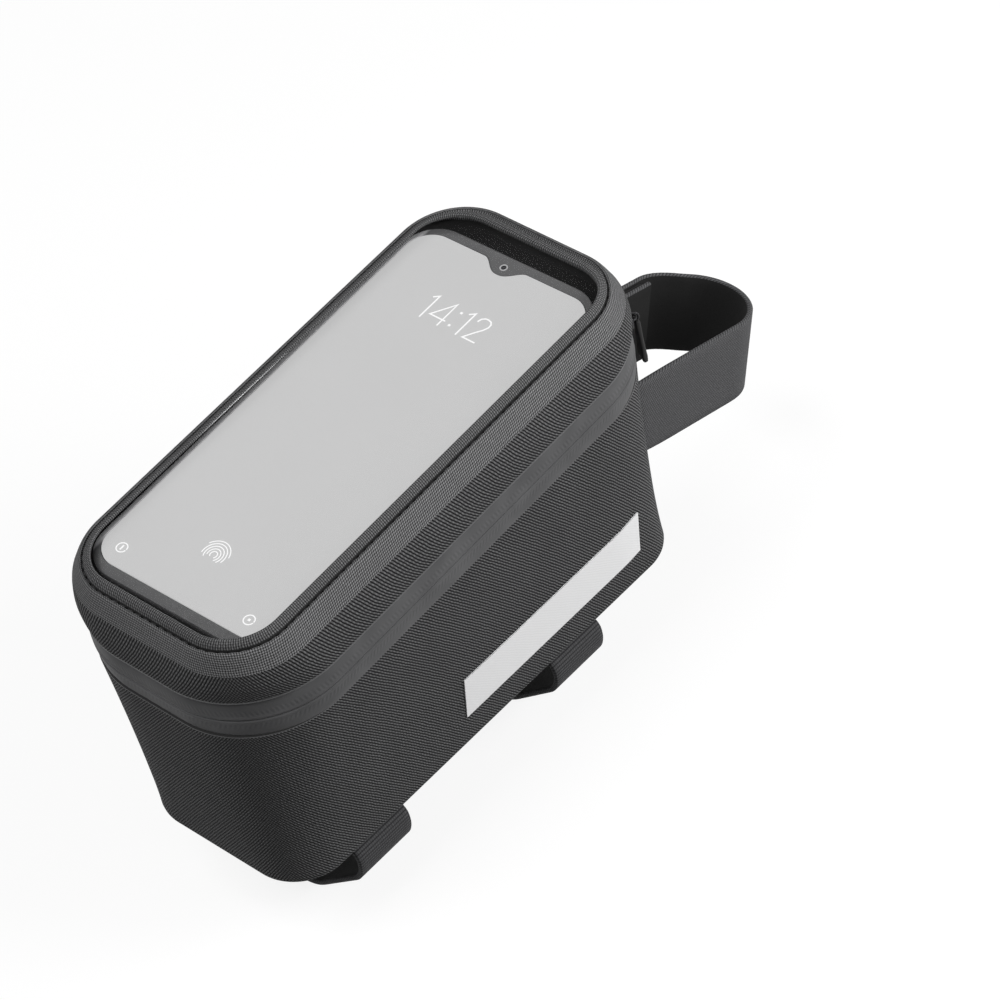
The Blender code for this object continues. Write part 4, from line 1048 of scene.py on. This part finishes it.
pull_rows = pebble((0.8 * MM, 2.3 * MM, 8.5 * MM), 0.7 * MM, (60, 24))
grip = pull_rows[..., 2] / MM
ribs = 0.14 * MM * np.cos(2 * np.pi * grip / 1.5) * (np.abs(grip + 1.5) < 5.5)
pull_rows[..., 0] += np.sign(pull_rows[..., 0]) * ribs
pull_rows[..., 1] *= 0.86 + 0.14 * np.clip(-grip / 6.0 + 0.3, -1.0, 1.0)
pull_rows[..., 2] -= 9.9 * MM
pull_reach = 33.0 * MM + 3.45 * MM


def beside_corner(points):
    """Local points put outside the front right corner: X outwards, Y along the case, Z up."""
    out_x, out_y = np.cos(SLIDER_ANGLE), np.sin(SLIDER_ANGLE)
    reach = pull_reach + points[..., 0]
    return on_lid(CORNER_AT[0] + reach * out_x - points[..., 1] * out_y,
                  CORNER_AT[1] + reach * out_y + points[..., 1] * out_x, points[..., 2])


pull = piece("pull_grip", beside_corner(pull_rows), [grip_rubber], loops=(False, True), capped=True)
loop_turn = np.linspace(0.0, 2 * np.pi, 25)[:-1]
loop_z = -0.55 * MM + 1.5 * MM * np.cos(loop_turn)
loop_path = np.stack([0.95 * MM * np.sin(loop_turn), 0 * loop_turn, loop_z], axis=-1)
loop_out = np.stack([np.sin(loop_turn), 0 * loop_turn, np.cos(loop_turn)], axis=-1)
loop_tube = loop_path[:, None] + 0.32 * MM * (np.cos(bail_ring) * loop_out[:, None]
                                              + np.sin(bail_ring) * np.array([0.0, 1.0, 0.0]))
pull_loop = piece("pull_loop", beside_corner(loop_tube), [slider_paint], loops=(True, True))
for part in (pull, pull_loop):
    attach(part, "pull")
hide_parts("zip_pull")

# 12 reflective stripes
# A strip of woven reflective tape lies on each side of the body, parallel to the base. It is heat-fused
# to the fabric and follows its swell.


def side_share(y, height):
    """Share of the wall at a place along the bag and a height, found in eight steps of substitution."""
    share = height / ZIP_HEIGHT
    for _ in range(8):
        share = (height - foot_lift(share)) / (ZIP_HEIGHT + np.tan(ZIP_SLOPE) * (y + ZIP_SETBACK * share))
    return share


def on_side(y, height, stand_off, side):
    """Points over the side wall: the wall's half width at that share, with its swell, plus the stand-off."""
    share = side_share(y, height)
    radius = (17.0 + 16.0 * share) * MM
    half_y = (88.75 + 3.75 * share ** 1.55) * MM
    along = (y + ZIP_SETBACK * share) / (half_y - radius)
    front, corner, length = (FINE * count for count in COARSE)
    forward = 3 * front + 3 * corner + length + (along + 1) / 2 * length if side > 0 else None
    column = forward if side > 0 else front + corner + (1 - along) / 2 * length
    limit = 1.0 - (BAND_EDGE + HEM_ROUNDING) / (ZIP_HEIGHT + np.tan(ZIP_SLOPE) * y)
    swell = resampled(wall_swell, share / limit * (wall_rows - 1), column)
    half_x = (34.0 + 9.5 * share ** 1.55) * MM + 0.3 * MM * np.sin(np.pi * share) + swell
    return np.stack([side * (half_x + stand_off), y, height], axis=-1)


reflective = woven("reflective_tape", np.radians(45), 0.55 * MM, (0.78, 0.78, 0.785), (0.98, 0.98, 0.985),
                   0.03 * MM, 0.5, specular=0.3)
stripe_y = 25.2 * MM + np.linspace(-41.0, 41.0, 70)[:, None] * MM
for side, name in ((1, "stripe_right"), (-1, "stripe_left")):
    rise = np.concatenate([[14.3], np.linspace(14.2, 31.2, 15), [31.1]]) * MM
    face = on_side(stripe_y + 0 * rise, rise + 0 * stripe_y, 0.42 * MM, side)
    face[:, [0, -1], 0] -= side * 0.12 * MM
    back = on_side(stripe_y + 0 * rise, rise + 0 * stripe_y, 0.08 * MM, side)[:, ::-1]
    stripe = piece(name + "_tape", np.concatenate([face, back], axis=1), [reflective], loops=(False, True),
                   capped=True)
    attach(stripe, "bag")
    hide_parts(name)

# 13 straps
# Three ribbed webbing straps with a black inner face, closed on themselves with hook and loop patches. Two
# are sewn under the floor and go round the top tube, and one is sewn to the front and holds the steerer.

WEBBING = 1.8 * MM
PATCH = 1.6 * MM
GAP = 0.3 * MM


def loop_path_of(corners, steps=14):
    """A closed convex loop of straight runs and arcs, with the arc of each corner's radius in steps."""
    spots = np.array([corner[:2] for corner in corners], float)
    radius = np.array([corner[2] for corner in corners], float)
    back = np.roll(spots, 1, axis=0) - spots
    ahead = np.roll(spots, -1, axis=0) - spots
    back /= np.linalg.norm(back, axis=1, keepdims=True)
    ahead /= np.linalg.norm(ahead, axis=1, keepdims=True)
    half = np.arccos(np.clip(np.einsum("ij,ij->i", back, ahead), -1.0, 1.0)) / 2
    middle = back + ahead
    middle /= np.linalg.norm(middle, axis=1, keepdims=True)
    centre = spots + middle * (radius / np.sin(half))[:, None]
    first = spots + back * (radius / np.tan(half))[:, None] - centre
    last = spots + ahead * (radius / np.tan(half))[:, None] - centre
    turn = np.arctan2(first[:, 0] * last[:, 1] - first[:, 1] * last[:, 0], np.einsum("ij,ij->i", first, last))
    angle = np.arctan2(first[:, 1], first[:, 0])[:, None] + turn[:, None] * np.linspace(0.0, 1.0, steps + 1)
    points = centre[:, None] + radius[:, None, None] * np.stack([np.cos(angle), np.sin(angle)], axis=-1)
    return points.reshape(-1, 2) * MM


def webbing_path(loop, first, spacing=0.9 * MM, extra=20.0 * MM, ramp=14.0 * MM):
    """Points, outward normals and lift of webbing laid once round a loop and on over itself by extra."""
    closed = np.vstack([loop, loop[:1]])
    length = np.concatenate([[0.0], np.cumsum(np.linalg.norm(np.diff(closed, axis=0), axis=1))])
    total = length[-1]
    start = length[first]
    at = np.linspace(start, start + total + extra, int((total + extra) / spacing))
    step = 0.4 * MM
    spot, before, after = (
        np.column_stack([np.interp((at + move) % total, length, closed[:, axis]) for axis in (0, 1)])
        for move in (0.0, -step, step))
    tangent = after - before
    tangent /= np.linalg.norm(tangent, axis=1, keepdims=True)
    rise = np.clip((at - (start + total - ramp)) / ramp, 0.0, 1.0)
    lift = rise * rise * (3 - 2 * rise) * (WEBBING + PATCH + 2 * GAP)
    return spot, np.column_stack([tangent[:, 1], -tangent[:, 0]]), lift


def webbing_section(width):
    """The strap's section as (side, reach): flat faces with edges rounded over half a millimetre."""
    side = np.linspace(-width / 2 + 0.5 * MM, width / 2 - 0.5 * MM, 12)
    turn = np.linspace(-QUARTER, QUARTER, 5)[1:-1]
    round_side, round_reach = 0.5 * MM * np.cos(turn), WEBBING / 2 * (1 + np.sin(turn))
    edge_right = np.column_stack([side[-1] + round_side, round_reach])
    edge_left = np.column_stack([side[0] - round_side[::-1], round_reach[::-1]])
    under = np.column_stack([side, 0 * side])
    over = np.column_stack([side[::-1], 0 * side + WEBBING])
    return np.vstack([under, edge_right, over, edge_left])


def strap(name, node, loop, width, lay, first, finishes):
    """Webbing along a loop: its section stands on the lifted path, and lay puts the loop in the bag."""
    spot, normal, lift = webbing_path(loop, first)
    section = webbing_section(width)
    reach = lift[:, None] + section[None, :, 1]
    place = spot[:, None] + normal[:, None] * reach[..., None]
    points = lay(place[..., 0], place[..., 1], np.broadcast_to(section[None, :, 0], reach.shape))
    look = np.where((section[:, 1] < 0.2 * MM) & (np.roll(section[:, 1], -1) < 0.2 * MM), 1, 0)[None, :]
    made = piece(name, points, finishes, look, loops=(False, True), capped=True, crisp=60.0)
    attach(made, "bag")
    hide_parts(node)
    return made


def webbing_finish(name, slant, gap, rib, pitch):
    """Ribbed webbing: ridges across the strap or slanted over it, each cut in short floats."""
    made, tree, shader = finish(name, 0.7, specular=0.12)
    lay = put(tree, "ShaderNodeUVMap", uv_map="lay").outputs[0]
    split = put(tree, "ShaderNodeSeparateXYZ", {0: lay}).outputs
    skew = calc(tree, "ADD", split["Y"], times(tree, split["X"], slant))
    ridge = calc(tree, "ABSOLUTE", calc(tree, "SINE", times(tree, skew, float(np.pi / pitch))))
    floats = calc(tree, "ABSOLUTE", calc(tree, "SINE", times(tree, split["X"], float(np.pi / (0.8 * MM)))))
    height = times(tree, calc(tree, "POWER", ridge, 0.7), calc(tree, "MULTIPLY_ADD", floats, 0.35, 0.65))
    fibre = noise(tree, lay, 1500.0, 2.0)
    mask = times(tree, height, calc(tree, "ADD", fibre, 0.4))
    tree.links.new(tint(tree, mask, gap, rib), shader.inputs["Base Color"])
    emboss(tree, shader, height, 0.2 * MM)
    return made


def patch(name, node, loop, width, lay, first):
    """The hook and loop between a strap's two layers: a pad on the path's first 20 mm, rounded at its edges.

    Its section is a superellipse that fills the space between the layers, thinner at both ends.
    """
    spot, normal, _ = webbing_path(loop, first)
    spot, normal = spot[1:22], normal[1:22]
    turn = np.linspace(0.0, 2 * np.pi, 36, endpoint=False)[None, :]
    ends = np.array([0.7, 0.93] + [1.0] * 17 + [0.93, 0.7])[:, None]
    thick = PATCH + 2 * GAP
    side = width / 2 * np.sign(np.cos(turn)) * np.abs(np.cos(turn)) ** 0.2 * (0.9 + 0.1 * ends)
    reach = WEBBING + thick / 2 + 0.49 * thick * ends * np.sign(np.sin(turn)) * np.abs(np.sin(turn)) ** 0.4
    place = spot[:, None] + normal[:, None] * reach[..., None]
    made = piece(name, lay(place[..., 0], place[..., 1], side), [hook_patch], loops=(False, True),
                 capped=True, crisp=60.0)
    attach(made, "bag")
    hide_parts(node)


strap_outer = webbing_finish("strap_webbing", 0.0, (0.008, 0.008, 0.009), (0.085, 0.085, 0.088), 1.0 * MM)
head_outer = webbing_finish("head_webbing", 0.8, (0.01, 0.01, 0.011), (0.13, 0.13, 0.134), 1.15 * MM)
strap_inner = mottled("strap_inner", (0.006, 0.006, 0.006), (0.016, 0.016, 0.016), 0.9, 0.1 * MM, 2400.0,
                      specular=0.25)
hook_patch = mottled("hook_patch", (0.006, 0.006, 0.006), (0.018, 0.018, 0.018), 0.9, 0.3 * MM, 1900.0,
                     specular=0.25)

tube_loop = loop_path_of([(10.0, -30.5, 14.0), (33.0, -11.0, 9.5), (32.0, -2.1, 3.0), (-32.0, -2.1, 3.0),
                          (-33.0, -11.0, 9.5), (-10.0, -30.5, 14.0)])


def under_base(middle):
    """Puts a tube strap's loop across the bag at a place along it."""
    return lambda across, height, side: np.stack([across, middle - side, height], axis=-1)


def on_steerer(across, ahead, side):
    """Puts the head strap's loop ahead of the front wall, its far part turned with the steerer."""
    tilt = np.radians(-15.9)
    turn = np.clip((ahead - WEBBING) / (18.0 * MM), 0.0, 1.0) * tilt
    return np.stack([across, HEAD_START + ahead * np.cos(tilt) - side * np.sin(turn),
                     41.4 * MM + ahead * np.sin(tilt) + side * np.cos(turn)], axis=-1)


strap_left = 5 * 15 - 1
for node, middle in (("tube_strap_rear", -54.5 * MM), ("tube_strap_front", 35.3 * MM)):
    strap(node + "_webbing", node, tube_loop, 22.5 * MM, under_base(middle), strap_left,
          [strap_outer, strap_inner])
    patch(node + "_hooks", node + "_patch", tube_loop, 20.5 * MM, under_base(middle), strap_left)
HEAD_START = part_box("head_strap")[0][1]
head_loop = loop_path_of([(17.0, 1.8, 3.0), (17.0, 67.2, 16.745), (-17.0, 67.2, 16.745), (-17.0, 1.8, 3.0)])
strap("head_strap_webbing", "head_strap", head_loop, 28.0 * MM, on_steerer, 3 * 15 - 1,
      [head_outer, strap_inner])
patch("head_strap_hooks", "head_strap_patch", head_loop, 26.0 * MM, on_steerer, 3 * 15 - 1)

rows_of_thread = []
for middle in (-54.5, 35.3):
    for x in (-24.0, -8.0, 8.0, 24.0):
        sides = np.linspace(-9.0, 9.0, 7)
        rows_of_thread.append(np.column_stack([0 * sides + x, middle + sides, 0 * sides - 2.15]) * MM)
under_seams = np.vstack(rows_of_thread)
base_seam = stitches("base_stitches", under_seams, np.tile((0.0, 1.0, 0.0), (len(under_seams), 1)),
                     np.tile((0.0, 0.0, -1.0), (len(under_seams), 1)), 2.2 * MM, 0.6 * MM, [thread])
head_sides = np.tile(np.linspace(-11.5, 11.5, 9), 4) * MM
head_across = np.repeat((-12.5, -10.5, 10.5, 12.5), 9) * MM
head_points = on_steerer(head_across, np.full(36, 1.86 * MM), head_sides)
head_seam = stitches("head_stitches", head_points, np.tile((0.0, 0.0, 1.0), (36, 1)),
                     np.tile((0.0, 1.0, 0.0), (36, 1)), 2.2 * MM, 0.6 * MM, [thread])
for seam_row in (base_seam, head_seam):
    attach(seam_row, "bag")

# 14 hinge cloth
# A strip of the case fabric closes the front between the ends of the zip. It is sewn to the body below and
# to the lid above.

hinge_x = np.linspace(-17.2, 17.2, 36)[None, :] * MM
hinge_z = np.linspace(-8.2, 8.2, 34)[:, None] * MM
hinge_y = 92.62 * MM + 0.35 * MM * np.cos(np.pi * hinge_z / (16.4 * MM)) + 0 * hinge_x
hinge_front = on_lid(hinge_x, hinge_y + 0.6 * MM, hinge_z)
hinge_back = on_lid(hinge_x, hinge_y, hinge_z)[:, ::-1]
hinge = piece("hinge_cloth", np.concatenate([hinge_front, hinge_back], axis=1), [case_weave],
              loops=(False, True), capped=True)
hinge_line = on_lid(0.0, 93.1 * MM, 0.0)
hinge_up = on_lid(0.0, 93.1 * MM, 1.0 * MM) - hinge_line
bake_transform(hinge)
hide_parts("front_hinge")

# 15 floor, light and camera
# A plain pale studio: a wide floor that takes the shadow, white all round, one large soft lamp from the
# right and a weaker one from above, and the camera.

low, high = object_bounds()
corners = [[(-3.0, -3.0, low[2]), (3.0, -3.0, low[2])], [(-3.0, 3.0, low[2]), (3.0, 3.0, low[2])]]
ground = piece("studio_floor", np.array(corners), [], loops=(False, False))
ground_finish, tree, shader = finish("studio_floor", 0.9, specular=0.0)
shader.inputs["Base Color"].default_value = (0.2, 0.2, 0.2, 1.0)
strength = times(tree, seen_rays(tree), 0.84)
glow = put(tree, "ShaderNodeEmission", {"Color": (1.0, 1.0, 1.0, 1.0), "Strength": strength})
both = put(tree, "ShaderNodeAddShader", {0: shader.outputs[0], 1: glow.outputs[0]})
tree.links.new(both.outputs[0], tree.nodes["Material Output"].inputs["Surface"])
ground.data.materials.append(ground_finish)
ground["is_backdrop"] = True

world = bpy.data.worlds.new("studio")
bpy.context.scene.world = world
world.use_nodes = True
tree = world.node_tree
back = tree.nodes["Background"]
back.inputs["Color"].default_value = (1.0, 1.0, 1.0, 1.0)
tree.links.new(calc(tree, "MULTIPLY_ADD", seen_rays(tree), 0.86, 0.14), back.inputs["Strength"])


def lamp(name, place, target, size, power):
    """A square area light that faces its target."""
    data = bpy.data.lights.new(name, "AREA")
    data.size = size
    data.energy = power
    made = bpy.data.objects.new(name, data)
    way = np.array(target) - np.array(place)
    pitch = np.arccos(-way[2] / np.linalg.norm(way))
    made.location = place
    made.rotation_euler = (pitch, 0.0, np.arctan2(way[1], way[0]) - QUARTER)
    bpy.context.collection.objects.link(made)


lamp("key_light", (0.62, 0.42, 0.4), (0.0, 0.02, 0.05), 0.5, 6.5)
lamp("top_light", (-0.2, -0.8, 1.6), (0.0, 0.0, 0.06), 1.0, 18.0)

camera_data = bpy.data.cameras.new("camera")
camera_data.lens = 144.0
camera_data.sensor_width = 36.0
camera = bpy.data.objects.new("camera", camera_data)
camera.location = (0.6336, -0.5396, 0.8890)
camera.rotation_euler = np.radians((44.821, 6.856, 40.459))
bpy.context.collection.objects.link(camera)
bpy.context.scene.camera = camera
bpy.context.scene.view_settings.view_transform = "Standard"

low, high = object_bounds()
